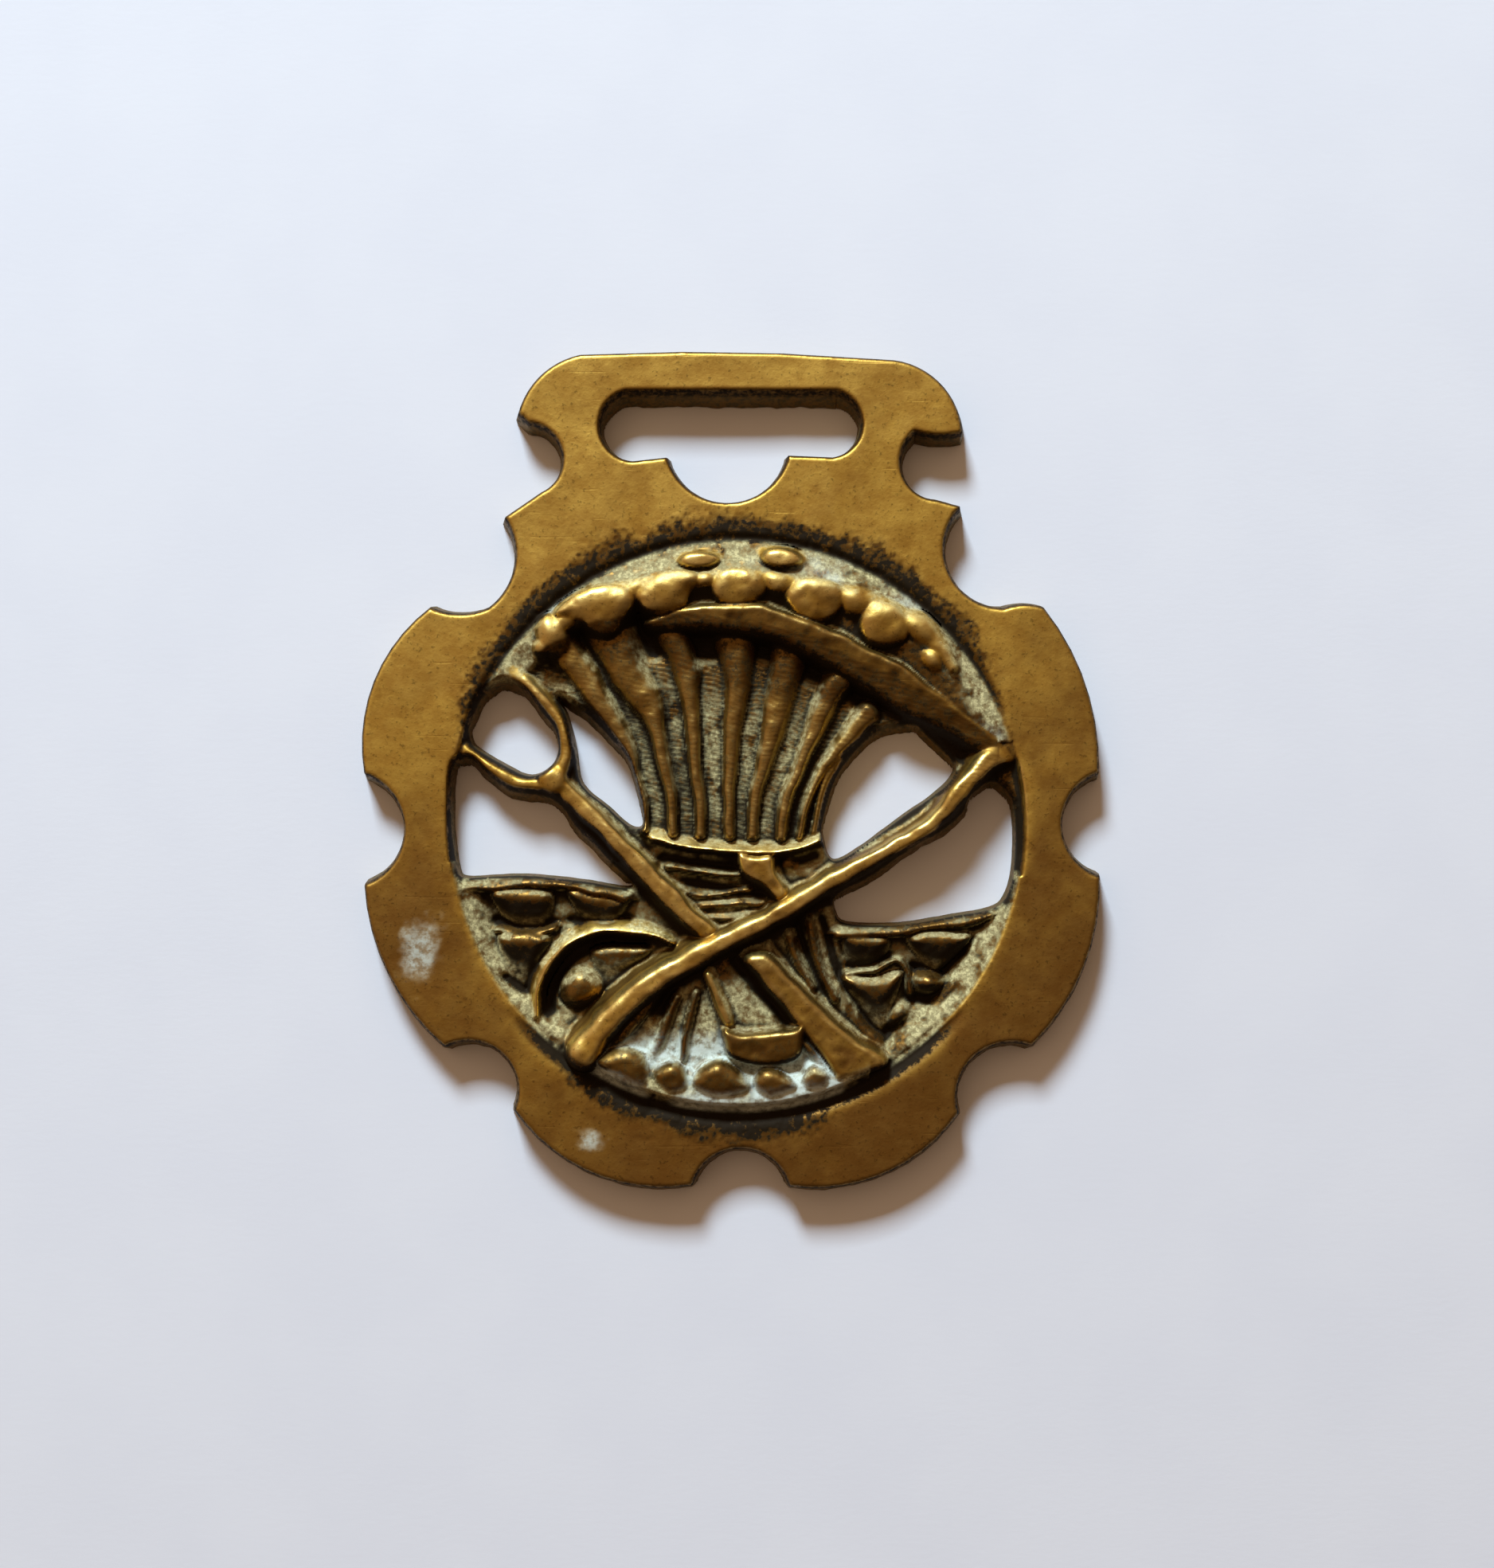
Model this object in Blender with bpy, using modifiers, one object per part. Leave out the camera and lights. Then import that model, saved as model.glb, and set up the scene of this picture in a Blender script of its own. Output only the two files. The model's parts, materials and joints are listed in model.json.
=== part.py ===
"""A horse brass: a flat cast harness ornament with a strap hanger and a pierced harvest scene.

The real object is one brass casting. Each named element of its design is a solid of its own here:
the border, the strap hanger, the wheatsheaf, the scythe, the spade and the two leafy banks.
It lies on its back: +X to the right, +Y towards the strap hanger, +Z out of the front face.
"""

import math

import bmesh
import bpy
from mathutils import Matrix, Vector

MM = 0.001

# Sizes in millimetres. Heights are above the flat back of the casting.
SEAM = 0.1  # the hair-line left between neighbouring elements
PLATE_TOP = 3.2
CHAMFER = 0.3
WINDOW_CENTRE = (0.6, -5.8)
WINDOW_RADIUS = 29.2
HANGER_SPLIT_Y = 25.3
CUTTER_REACH = 60.0
CUTTER_DEPTH = 2.0  # how far a cutter runs past the faces it goes through

CROWN_TOP = 3.8
STALK_GROUND_TOP = 2.2
BUTT_TOP = 3.2
BANK_TOP = 1.6

EAR_TOP = 5.0
BUD_TOP = 4.4
STALK_TOP = 3.1
STRAP_TOP = 3.4
KNOT_TOP = 3.8
STRAW_TOP = 4.3
LEAF_TOP = 2.7
TENDRIL_TOP = 2.8

BLADE_TOP = 4.6
SNATH_TOP = 4.5
SHAFT_TOP = 3.9
GRIP_TOP = 3.4
SPADE_BLADE_TOP = 4.2

# Colour, roughness
POLISHED = ((0.50, 0.33, 0.09, 1.0), 0.30)
WORN = ((0.40, 0.26, 0.08, 1.0), 0.38)
DULL = ((0.24, 0.18, 0.07, 1.0), 0.55)

# The border's edge, clockwise from the hanger's left tip. Each stretch is (end,) for a straight
# run or (point on the way, end) for an arc. Lobes and circular bites take turns round the disc.
BORDER_START = (-22.0, 36.8)
BORDER_STRETCHES = (
    ((-20.2, 40.2), (-15.6, 42.9)),
    ((0.0, 43.2), (15.9, 42.4)),
    ((21.5, 40.1), (23.9, 34.8)),
    ((21.3, 34.5), (19.0, 34.9)),
    ((17.5, 31.8), (21.2, 27.9)),
    ((23.8, 27.2),),
    ((22.2, 21.3), (28.2, 16.7)),
    ((30.3, 17.1), (32.3, 16.8)),
    ((36.9, 8.1), (38.0, -0.3)),
    ((34.2, -5.3), (38.1, -11.0)),
    ((36.0, -21.6), (31.1, -28.5)),
    ((24.6, -30.2), (23.5, -35.5)),
    ((17.4, -41.0), (6.0, -43.0)),
    ((1.0, -39.1), (-4.0, -42.9)),
    ((-14.8, -41.5), (-22.4, -35.1)),
    ((-22.9, -30.2), (-29.6, -28.6)),
    ((-35.2, -21.6), (-37.9, -11.8)),
    ((-33.8, -6.4), (-37.9, -0.4)),
    ((-36.9, 9.2), (-31.1, 16.8)),
    ((-28.2, 16.1), (-25.1, 16.7)),
    ((-22.4, 20.9), (-23.4, 26.1)),
    ((-19.6, 28.7),),
    ((-17.4, 31.9), (-20.9, 35.8)),
    ((-22.0, 36.8),),
)
SLOT_START = (-10.8, 38.3)
SLOT_STRETCHES = (
    ((11.0, 38.3),),
    ((13.5, 35.9), (10.5, 32.3)),
    ((5.9, 32.5),),
    ((-0.2, 27.1), (-6.6, 32.3)),
    ((-10.1, 31.9),),
    ((-13.6, 35.2), (-10.8, 38.3)),
)

# The scythe, the spade and the grounds, as points of smooth lines
BLADE_BACK = ((-5.2, 16.9), (-0.7, 16.8), (6.9, 15.4), (13.1, 13.1), (18.6, 10.3), (24.9, 6.2), (28.2, 3.2))
BLADE_EDGE = ((26.6, 3.0), (25.5, 3.6), (18.6, 7.4), (12.1, 10.3), (6.6, 13.1), (-1.4, 14.5), (-6.2, 15.8))
SNATH_LINE = (
    (-15.0, -29.1),
    (-11.6, -25.0),
    (-6.9, -21.2),
    (-0.7, -17.8),
    (9.2, -12.2),
    (15.9, -8.5),
    (21.3, -4.7),
    (24.3, -0.9),
    (27.9, 1.2),
)
SNATH_WIDTHS = (3.6, 3.0, 2.7, 2.5, 2.0, 1.9, 2.2, 1.7, 1.9)
SHAFT_LINE = ((-16.9, -2.0), (-15.6, -3.3), (-13.0, -6.0), (-8.7, -10.4), (-4.6, -14.7), (-3.3, -15.9))
SHAFT_WIDTHS = (2.2, 2.2, 2.3, 2.3, 2.3, 2.1)
GRIP_LINE = (
    (-22.9, 10.6),
    (-21.0, 8.8),
    (-19.4, 7.0),
    (-17.9, 5.1),
    (-17.2, 3.0),
    (-17.2, 1.0),
    (-18.1, -0.9),
    (-20.2, -1.4),
    (-22.0, -1.3),
    (-24.1, -0.4),
    (-25.7, 0.7),
    (-27.7, 2.4),
)
GRIP_WIDTHS = (2.2, 1.8, 1.7, 1.7, 1.7, 1.7, 1.9, 1.7, 1.7, 1.7, 1.8, 2.2)
SPADE_BLADE = ((1.6, -20.2), (10.2, -30.6), (11.2, -34.0), (17.2, -31.0), (6.4, -21.5), (3.4, -19.0))

BLADE_MIDDLE = ((18.6, 8.8), (12.6, 11.7), (6.8, 14.2), (-1.0, 15.7), (-5.5, 16.4))
CROWN_FOOT = ((-13.2, 13.6), (-17.9, 10.7), (-19.8, 9.3))
NECK_LEFT = ((-19.8, 9.2), (-13.9, 5.6), (-11.0, 2.4), (-9.4, -2.5), (-8.9, -5.8), (-8.7, -8.9))
NECK_RIGHT = ((10.7, -11.3), (9.4, -8.3), (9.8, -4.2), (11.8, 0.7), (15.9, 4.4))
BANK_LEFT_RIM = ((-8.0, -11.2), (-11.0, -12.1), (-14.6, -11.5), (-17.9, -11.1), (-21.3, -10.8), (-24.5, -10.9))
BANK_RIGHT_RIM = ((23.2, -15.0), (19.0, -15.5), (14.9, -15.8), (11.7, -15.9), (10.9, -15.2))
BANK_RIGHT_FOOT = ((11.6, -22.0), (13.6, -27.6))

# Angles where each ground meets the window's edge, in degrees from +X
CROWN_ANGLES = (19.5, 143.6)
BANK_LEFT_ANGLES = (190.5, 235.0)
BUTT_ANGLES = (236.0, 300.0)
BANK_RIGHT_ANGLES = (302.0, 342.7)

# Rounded lumps: centre, half length, half width, turn in degrees
EARS = (
    ((-18.3, 13.8), 1.8, 1.2, -60),
    ((-13.1, 16.3), 2.4, 1.8, 20),
    ((-6.9, 18.2), 2.2, 1.5, 15),
    ((-3.3, 19.6), 1.1, 0.8, 0),
    ((1.0, 18.7), 2.1, 1.4, 0),
    ((4.8, 19.4), 1.3, 0.9, 0),
    ((8.6, 18.0), 2.1, 1.8, -20),
    ((12.4, 17.5), 1.4, 1.2, -30),
    ((16.2, 14.3), 1.6, 1.4, -20),
    ((19.7, 14.6), 1.2, 1.1, 0),
    ((20.9, 11.4), 1.1, 1.1, 0),
)
BUDS = (((-3.0, 21.5), 1.8, 0.8, 0), ((5.2, 21.6), 2.2, 0.9, -8))
LEFT_LEAVES = (
    ((-21.5, -14.3), 2.2, 1.6, 10),
    ((-14.5, -14.1), 3.2, 1.3, -5),
    ((-21.8, -18.4), 2.3, 1.6, -60),
    ((-12.0, -20.0), 2.6, 0.9, 25),
)
RIGHT_LEAVES = (
    ((13.9, -18.5), 2.0, 1.5, -10),
    ((21.3, -18.4), 2.8, 1.5, 5),
    ((14.9, -22.5), 2.6, 1.5, -25),
    ((20.6, -22.2), 1.8, 1.2, 0),
    ((17.4, -26.2), 1.8, 1.4, 30),
)
BERRY = ((-15.7, -22.2), 1.8, 1.8, 0)
STRAW_LUMPS = (
    ((-10.6, -30.4), 1.9, 1.1, 25),
    ((-6.6, -31.8), 1.7, 1.0, -20),
    ((-1.8, -32.3), 2.3, 1.3, 0),
    ((3.9, -32.6), 2.1, 1.1, 5),
    ((8.5, -31.2), 1.2, 1.0, 20),
)

# Narrow raised strokes: their middle line and width
STALKS = (
    (((-15.4, 10.4), (-12.2, 5.9), (-9.6, 0.6), (-8.3, -3.0), (-8.0, -6.0)), 1.3),
    (((-11.3, 12.2), (-8.7, 7.3), (-7.2, 2.9), (-6.4, -1.5), (-5.9, -6.0)), 1.5),
    (((-4.9, 13.2), (-4.0, 9.2), (-3.9, 5.1), (-3.4, 0.7), (-3.0, -6.0)), 1.6),
    (((0.0, 12.0), (0.0, 9.4), (-0.2, 1.4), (-0.3, -6.0)), 1.6),
    (((5.6, 10.7), (4.4, 3.0), (2.5, -6.0)), 1.4),
    (((10.2, 8.2), (9.3, 5.5), (6.6, 0.6), (4.7, -6.0)), 1.2),
    (((13.6, 5.4), (11.7, 3.0), (8.4, -1.5), (6.9, -6.0)), 1.1),
    (((11.2, 0.2), (9.9, -2.4), (8.8, -6.0)), 0.9),
)
STRAP_UPPER = (((-7.6, -7.4), (-3.8, -8.2), (0.5, -8.7), (3.3, -8.9), (7.2, -8.4), (8.4, -8.0)), 1.0)
STRAP_LOWER = (((-6.2, -10.0), (-2.5, -10.6), (-0.2, -10.9)), 1.0)
STRAP_FOLD = (((-2.4, -13.4), (0.3, -13.7), (2.2, -13.7)), 1.0)
TENDRIL = (((-19.8, -25.0), (-19.0, -20.9), (-17.5, -18.7), (-14.9, -17.2), (-12.2, -16.4), (-8.6, -16.9)), 0.9)
STRAW = (((-1.9, -21.6), (-0.9, -25.0)), 1.1)
KNOT = ((0.9, -9.7), (4.0, -9.8), (5.9, -12.8), (4.9, -13.4), (3.3, -11.9), (1.4, -11.4))
BUTT_BLOCK = ((-0.5, -26.6), (3.2, -27.1), (7.0, -26.4), (7.3, -29.2), (3.5, -29.9), (-0.2, -29.5))

PARTS = bpy.data.collections.new("horse_brass")
CUTTERS = bpy.data.collections.new("cutters")


def clear_scene():
    for item in list(bpy.data.objects):
        bpy.data.objects.remove(item, do_unlink=True)


def arc(start, via, end, turn_step=math.radians(12)):
    """Points after start, up to end, on the circle through three points."""
    (ax, ay), (bx, by), (cx, cy) = start, via, end
    double_area = 2 * (ax * (by - cy) + bx * (cy - ay) + cx * (ay - by))
    a2, b2, c2 = ax * ax + ay * ay, bx * bx + by * by, cx * cx + cy * cy
    centre_x = (a2 * (by - cy) + b2 * (cy - ay) + c2 * (ay - by)) / double_area
    centre_y = (a2 * (cx - bx) + b2 * (ax - cx) + c2 * (bx - ax)) / double_area
    radius = math.hypot(ax - centre_x, ay - centre_y)
    first = math.atan2(ay - centre_y, ax - centre_x)
    sweep = (math.atan2(cy - centre_y, cx - centre_x) - first) % math.tau
    passed = (math.atan2(by - centre_y, bx - centre_x) - first) % math.tau
    if passed > sweep:
        sweep -= math.tau
    steps = max(3, round(abs(sweep) / turn_step))
    angles = [first + sweep * step / steps for step in range(1, steps + 1)]
    return [(centre_x + radius * math.cos(angle), centre_y + radius * math.sin(angle)) for angle in angles]


def stretches(start, runs):
    """A closed outline from straight runs and arcs."""
    points = [start]
    for run in runs:
        points += [run[0]] if len(run) == 1 else arc(points[-1], *run)
    return points[:-1]


def circle(centre, radius, first=0.0, last=360.0, steps=96):
    """Points on a circle between two angles, both included unless it is a whole turn."""
    whole = last - first >= 360.0
    count = max(2, round(steps * (last - first) / 360.0))
    angles = [math.radians(first + (last - first) * step / count) for step in range(count + (not whole))]
    return [(centre[0] + radius * math.cos(angle), centre[1] + radius * math.sin(angle)) for angle in angles]


def window_edge(angles):
    return circle(WINDOW_CENTRE, WINDOW_RADIUS - SEAM, *angles)


def smooth(points, per_span=3):
    """A Catmull-Rom line through the points."""
    known = [Vector(point) for point in points]
    known = [2 * known[0] - known[1], *known, 2 * known[-1] - known[-2]]
    line = []
    for index in range(1, len(known) - 2):
        before, here, after, beyond = known[index - 1 : index + 3]
        for step in range(per_span):
            t = step / per_span
            bend = 2 * before - 5 * here + 4 * after - beyond
            swing = 3 * (here - after) + beyond - before
            line.append((2 * here + (after - before) * t + bend * t * t + swing * t**3) / 2)
    return line + [known[-2]]


def stroke(points, widths, grow=0.0, per_span=3, end_steps=4):
    """The outline of a brush stroke along a smooth line, with round ends."""
    if isinstance(widths, (int, float)):
        widths = [widths] * len(points)
    profile = [(x, y, width) for (x, y), width in zip(points, widths)]
    line = smooth(profile, per_span)
    middles = [Vector((point.x, point.y)) for point in line]
    halves = [point.z / 2 + grow for point in line]
    ahead = [(middles[min(i + 1, len(line) - 1)] - middles[max(i - 1, 0)]).normalized() for i in range(len(line))]
    sides = [Vector((-way.y, way.x)) for way in ahead]
    left = [middle + side * half for middle, side, half in zip(middles, sides, halves)]
    right = [middle - side * half for middle, side, half in zip(middles, sides, halves)]

    def cap(middle, side, way, half):
        turns = [math.pi * step / end_steps for step in range(1, end_steps)]
        return [middle + half * (side * math.cos(turn) + way * math.sin(turn)) for turn in turns]

    far = cap(middles[-1], sides[-1], ahead[-1], halves[-1])
    near = cap(middles[0], -sides[0], -ahead[0], halves[0])
    return [tuple(point) for point in left + far + right[::-1] + near]


def grown(outline, distance):
    """The outline moved outwards all round."""
    points = [Vector(point) for point in outline]
    area = sum(a.x * b.y - b.x * a.y for a, b in zip(points, points[1:] + points[:1]))
    outwards = 1 if area > 0 else -1
    result = []
    for index, here in enumerate(points):
        along = (here - points[index - 1]).normalized()
        onward = (points[(index + 1) % len(points)] - here).normalized()
        normal_in = Vector((along.y, -along.x)) * outwards
        normal_out = Vector((onward.y, -onward.x)) * outwards
        miter = (normal_in + normal_out).normalized()
        result.append(tuple(here + miter * distance / max(0.5, miter.dot(normal_in))))
    return result


def brass(name, finish):
    colour, roughness = finish
    material = bpy.data.materials.new(name)
    material.use_nodes = True
    shader = material.node_tree.nodes["Principled BSDF"]
    shader.inputs["Base Color"].default_value = colour
    shader.inputs["Roughness"].default_value = roughness
    shader.inputs["Metallic"].default_value = 1.0
    material.diffuse_color = colour
    return material


def prism(name, outlines, bottom, top, collection):
    """A flat plate from 2D outlines; an outline inside another one is a hole."""
    curve = bpy.data.curves.new(name, "CURVE")
    curve.dimensions = "2D"
    curve.fill_mode = "BOTH"
    curve.extrude = (top - bottom) / 2 * MM
    for outline in outlines:
        spline = curve.splines.new("POLY")
        spline.points.add(len(outline) - 1)
        for point, (x, y) in zip(spline.points, outline):
            point.co = (x * MM, y * MM, 0.0, 1.0)
        spline.use_cyclic_u = True
    source = bpy.data.objects.new(name + "_outline", curve)
    bpy.context.scene.collection.objects.link(source)
    source.location.z = (top + bottom) / 2 * MM
    graph = bpy.context.evaluated_depsgraph_get()
    mesh = bpy.data.meshes.new_from_object(source.evaluated_get(graph))
    shape = bmesh.new()
    shape.from_mesh(mesh)
    bmesh.ops.remove_doubles(shape, verts=shape.verts, dist=1e-6)
    bmesh.ops.dissolve_limit(shape, angle_limit=math.radians(1), verts=shape.verts, edges=shape.edges)
    bmesh.ops.recalc_face_normals(shape, faces=shape.faces)
    shape.to_mesh(mesh)
    shape.free()
    mesh.materials.clear()
    solid = bpy.data.objects.new(name, mesh)
    solid.matrix_world = source.matrix_world.copy()
    bpy.data.objects.remove(source, do_unlink=True)
    collection.objects.link(solid)
    bpy.context.view_layer.update()
    return solid


def cutter(name, outlines, bottom=-CUTTER_DEPTH, top=EAR_TOP + CUTTER_DEPTH):
    solid = prism(name + "_cutter", outlines, bottom, top, CUTTERS)
    solid.hide_render = True
    solid.display_type = "WIRE"
    return solid


def cut(solid, tools):
    for tool in tools:
        difference = solid.modifiers.new("cut_" + tool.name, "BOOLEAN")
        difference.operation = "DIFFERENCE"
        difference.solver = "EXACT"
        difference.object = tool


def chamfer(solid, width=CHAMFER):
    bevel = solid.modifiers.new("edges", "BEVEL")
    bevel.width = width * MM
    bevel.segments = 1
    bevel.limit_method = "ANGLE"
    bevel.angle_limit = math.radians(50)


def element(name, outlines, bottom, top, finish, tools=(), edge=CHAMFER):
    """One element of the casting: a plate, its cuts, its edges and its finish."""
    solid = prism(name, outlines, bottom, top, PARTS)
    solid.data.materials.append(brass(name, finish))
    cut(solid, tools)
    if edge:
        chamfer(solid, edge)
    return solid


def lump(name, place, bottom, top, finish, segments=14, rings=8):
    """A rounded mound on a flat foot: the upper part of a flattened sphere."""
    (x, y), half_length, half_width, turn = place
    height = top - bottom
    sunk = 0.25  # how much of its height the sphere's middle lies below the foot
    across = 1 / math.sqrt(1 - (sunk / (1 + sunk)) ** 2)
    shape = bmesh.new()
    bmesh.ops.create_uvsphere(shape, u_segments=segments, v_segments=rings, radius=1.0)
    size = Matrix.Diagonal((half_length * across * MM, half_width * across * MM, height * (1 + sunk) * MM, 1.0))
    bmesh.ops.transform(shape, matrix=size, verts=shape.verts)
    bmesh.ops.translate(shape, vec=(0.0, 0.0, -height * sunk * MM), verts=shape.verts)
    everything = [*shape.verts, *shape.edges, *shape.faces]
    bmesh.ops.bisect_plane(shape, geom=everything, plane_co=(0, 0, 0), plane_no=(0, 0, 1), clear_inner=True)
    bmesh.ops.holes_fill(shape, edges=shape.edges)
    bmesh.ops.recalc_face_normals(shape, faces=shape.faces)
    mesh = bpy.data.meshes.new(name)
    shape.to_mesh(mesh)
    shape.free()
    mesh.materials.append(brass(name, finish))
    solid = bpy.data.objects.new(name, mesh)
    solid.location = (x * MM, y * MM, bottom * MM)
    solid.rotation_euler.z = math.radians(turn)
    PARTS.objects.link(solid)
    return solid


def ridge(name, line_and_width, bottom, top, finish):
    line, width = line_and_width
    return element(name, [stroke(line, width)], bottom, top, finish, edge=min(CHAMFER, width / 4))


def build_border():
    """The scalloped ring and the hanger: one plate, parted at the neck."""
    outline = stretches(BORDER_START, BORDER_STRETCHES)
    window = circle(WINDOW_CENTRE, WINDOW_RADIUS)
    slot = stretches(SLOT_START, SLOT_STRETCHES)
    reach = CUTTER_REACH
    high = HANGER_SPLIT_Y + SEAM / 2
    low = HANGER_SPLIT_Y - SEAM / 2
    above = cutter("above_neck", [[(-reach, high - SEAM), (reach, high - SEAM), (reach, reach), (-reach, reach)]])
    below = cutter("below_neck", [[(-reach, -reach), (reach, -reach), (reach, low + SEAM), (-reach, low + SEAM)]])
    element("border_ring", [outline, window], 0.0, PLATE_TOP, POLISHED, [above])
    element("strap_hanger", [outline, slot], 0.0, PLATE_TOP, POLISHED, [below])


def build_tools(guard):
    """The scythe and the spade, which run the full depth of the casting."""
    blade = [*smooth(BLADE_BACK), *smooth(BLADE_EDGE)]
    blade = [(point[0], point[1]) for point in blade]
    snath_cut = cutter("snath", [stroke(SNATH_LINE, SNATH_WIDTHS, SEAM)])
    shaft_cut = cutter("shaft", [stroke(SHAFT_LINE, SHAFT_WIDTHS, SEAM)])
    blade_cut = cutter("blade", [grown(blade, SEAM)])
    spade_cut = cutter("spade", [grown(SPADE_BLADE, SEAM)])
    grip_cut = cutter("grip", [stroke(GRIP_LINE, GRIP_WIDTHS, SEAM)])
    element("scythe_snath", [stroke(SNATH_LINE, SNATH_WIDTHS)], 0.0, SNATH_TOP, POLISHED, [guard], 0.5)
    element("scythe_blade", [blade], 0.0, BLADE_TOP, WORN, [guard, snath_cut])
    element("spade_shaft", [stroke(SHAFT_LINE, SHAFT_WIDTHS)], 0.0, SHAFT_TOP, POLISHED, [snath_cut], 0.5)
    element("spade_grip", [stroke(GRIP_LINE, GRIP_WIDTHS)], 0.0, GRIP_TOP, POLISHED, [guard, shaft_cut])
    element("spade_blade", [SPADE_BLADE], 0.0, SPADE_BLADE_TOP, WORN, [guard, snath_cut])
    return snath_cut, shaft_cut, blade_cut, spade_cut, grip_cut


def build_grounds(snath, shaft, blade, spade, grip):
    """The webs of metal that join the design to the border."""
    crown = [*window_edge(CROWN_ANGLES), *CROWN_FOOT[::-1], (-6.6, 15.6), *BLADE_MIDDLE[::-1], (27.0, 4.0)]
    crown_cut = cutter("crown", [grown(crown, SEAM)])
    neck = [*NECK_LEFT, (-8.7, -10.4), (-4.6, -14.7), (-2.7, -16.6), (-0.7, -17.8), (9.2, -12.2), *NECK_RIGHT]
    neck += [(17.8, 8.4), *BLADE_MIDDLE, (-6.6, 15.6), *CROWN_FOOT]
    left = [*window_edge(BANK_LEFT_ANGLES), (-11.6, -25.0), (-6.9, -21.2), (-2.7, -18.2), (-4.6, -14.7)]
    left += BANK_LEFT_RIM
    right = [*window_edge(BANK_RIGHT_ANGLES), *BANK_RIGHT_RIM, (11.0, -17.0), *BANK_RIGHT_FOOT]
    tail = [(3.2, -18.6), (2.8, -15.9), (9.2, -12.2), (10.6, -15.6), (11.3, -22.1), (13.2, -27.2), (6.4, -21.5)]
    butt = [*window_edge(BUTT_ANGLES), (11.8, -28.8), (6.7, -24.4), (2.2, -20.4), (-0.7, -17.8), (-6.9, -21.2)]
    butt += [(-11.6, -25.0)]
    element("sheaf_crown", [crown], 0.0, CROWN_TOP, DULL, [blade, grip], 0.0)
    element("sheaf_neck", [neck], 0.0, STALK_GROUND_TOP, DULL, [blade, crown_cut, snath, shaft, grip], 0.0)
    element("sheaf_tail", [tail], 0.0, STALK_GROUND_TOP, DULL, [snath, spade], 0.0)
    element("sheaf_butt", [butt], 0.0, BUTT_TOP, DULL, [snath, spade], 0.0)
    element("left_bank", [left], 0.0, BANK_TOP, DULL, [snath, shaft], 0.0)
    element("right_bank", [right], 0.0, BANK_TOP, DULL, [spade], 0.0)


def build_sheaf():
    foot = CROWN_TOP + SEAM
    for number, place in enumerate(EARS, 1):
        lump(f"wheat_ear_{number}", place, foot, EAR_TOP, POLISHED)
    for side, place in zip(("left", "right"), BUDS):
        lump(f"flat_bud_{side}", place, foot, BUD_TOP, POLISHED)
    foot = STALK_GROUND_TOP + SEAM
    for number, line_and_width in enumerate(STALKS, 1):
        ridge(f"stalk_{number}", line_and_width, foot, STALK_TOP, WORN)
    ridge("band_upper", STRAP_UPPER, foot, STRAP_TOP, POLISHED)
    ridge("band_lower", STRAP_LOWER, foot, STRAP_TOP, WORN)
    ridge("band_fold", STRAP_FOLD, foot, STRAP_TOP, WORN)
    element("band_knot", [KNOT], foot, KNOT_TOP, POLISHED)
    foot = BUTT_TOP + SEAM
    element("butt_block", [BUTT_BLOCK], foot, STRAW_TOP, WORN)
    ridge("butt_straw", STRAW, foot, STRAW_TOP, WORN)
    for number, place in enumerate(STRAW_LUMPS, 1):
        lump(f"butt_end_{number}", place, foot, STRAW_TOP, WORN)


def build_banks():
    foot = BANK_TOP + SEAM
    for number, place in enumerate(LEFT_LEAVES, 1):
        lump(f"left_leaf_{number}", place, foot, LEAF_TOP, WORN)
    for number, place in enumerate(RIGHT_LEAVES, 1):
        lump(f"right_leaf_{number}", place, foot, LEAF_TOP, WORN)
    lump("berry", BERRY, foot, LEAF_TOP, WORN)
    ridge("tendril", TENDRIL, foot, TENDRIL_TOP, WORN)


def main():
    clear_scene()
    bpy.context.scene.unit_settings.scale_length = 1.0
    for collection in (PARTS, CUTTERS):
        bpy.context.scene.collection.children.link(collection)
    CUTTERS.hide_render = True
    outside = [(-CUTTER_REACH, -CUTTER_REACH), (CUTTER_REACH, -CUTTER_REACH)]
    outside += [(CUTTER_REACH, CUTTER_REACH), (-CUTTER_REACH, CUTTER_REACH)]
    guard = cutter("border_guard", [outside, circle(WINDOW_CENTRE, WINDOW_RADIUS - SEAM)])
    build_border()
    build_grounds(*build_tools(guard))
    build_sheaf()
    build_banks()


main()
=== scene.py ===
"""The looks of the horse brass: a cast relief sculpted as a height field over the CAD elements.

The casting has no undercuts, so its front is a height over each point of the plan. The script
sculpts that height from strokes, mounds and grounds, cuts it into one closed mesh for each CAD
node, and gives the metal its polished shine, patina, pits and verdigris, along with painted light
and shade in its colours. Plan sizes are in millimetres.
"""

import json
import math

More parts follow.
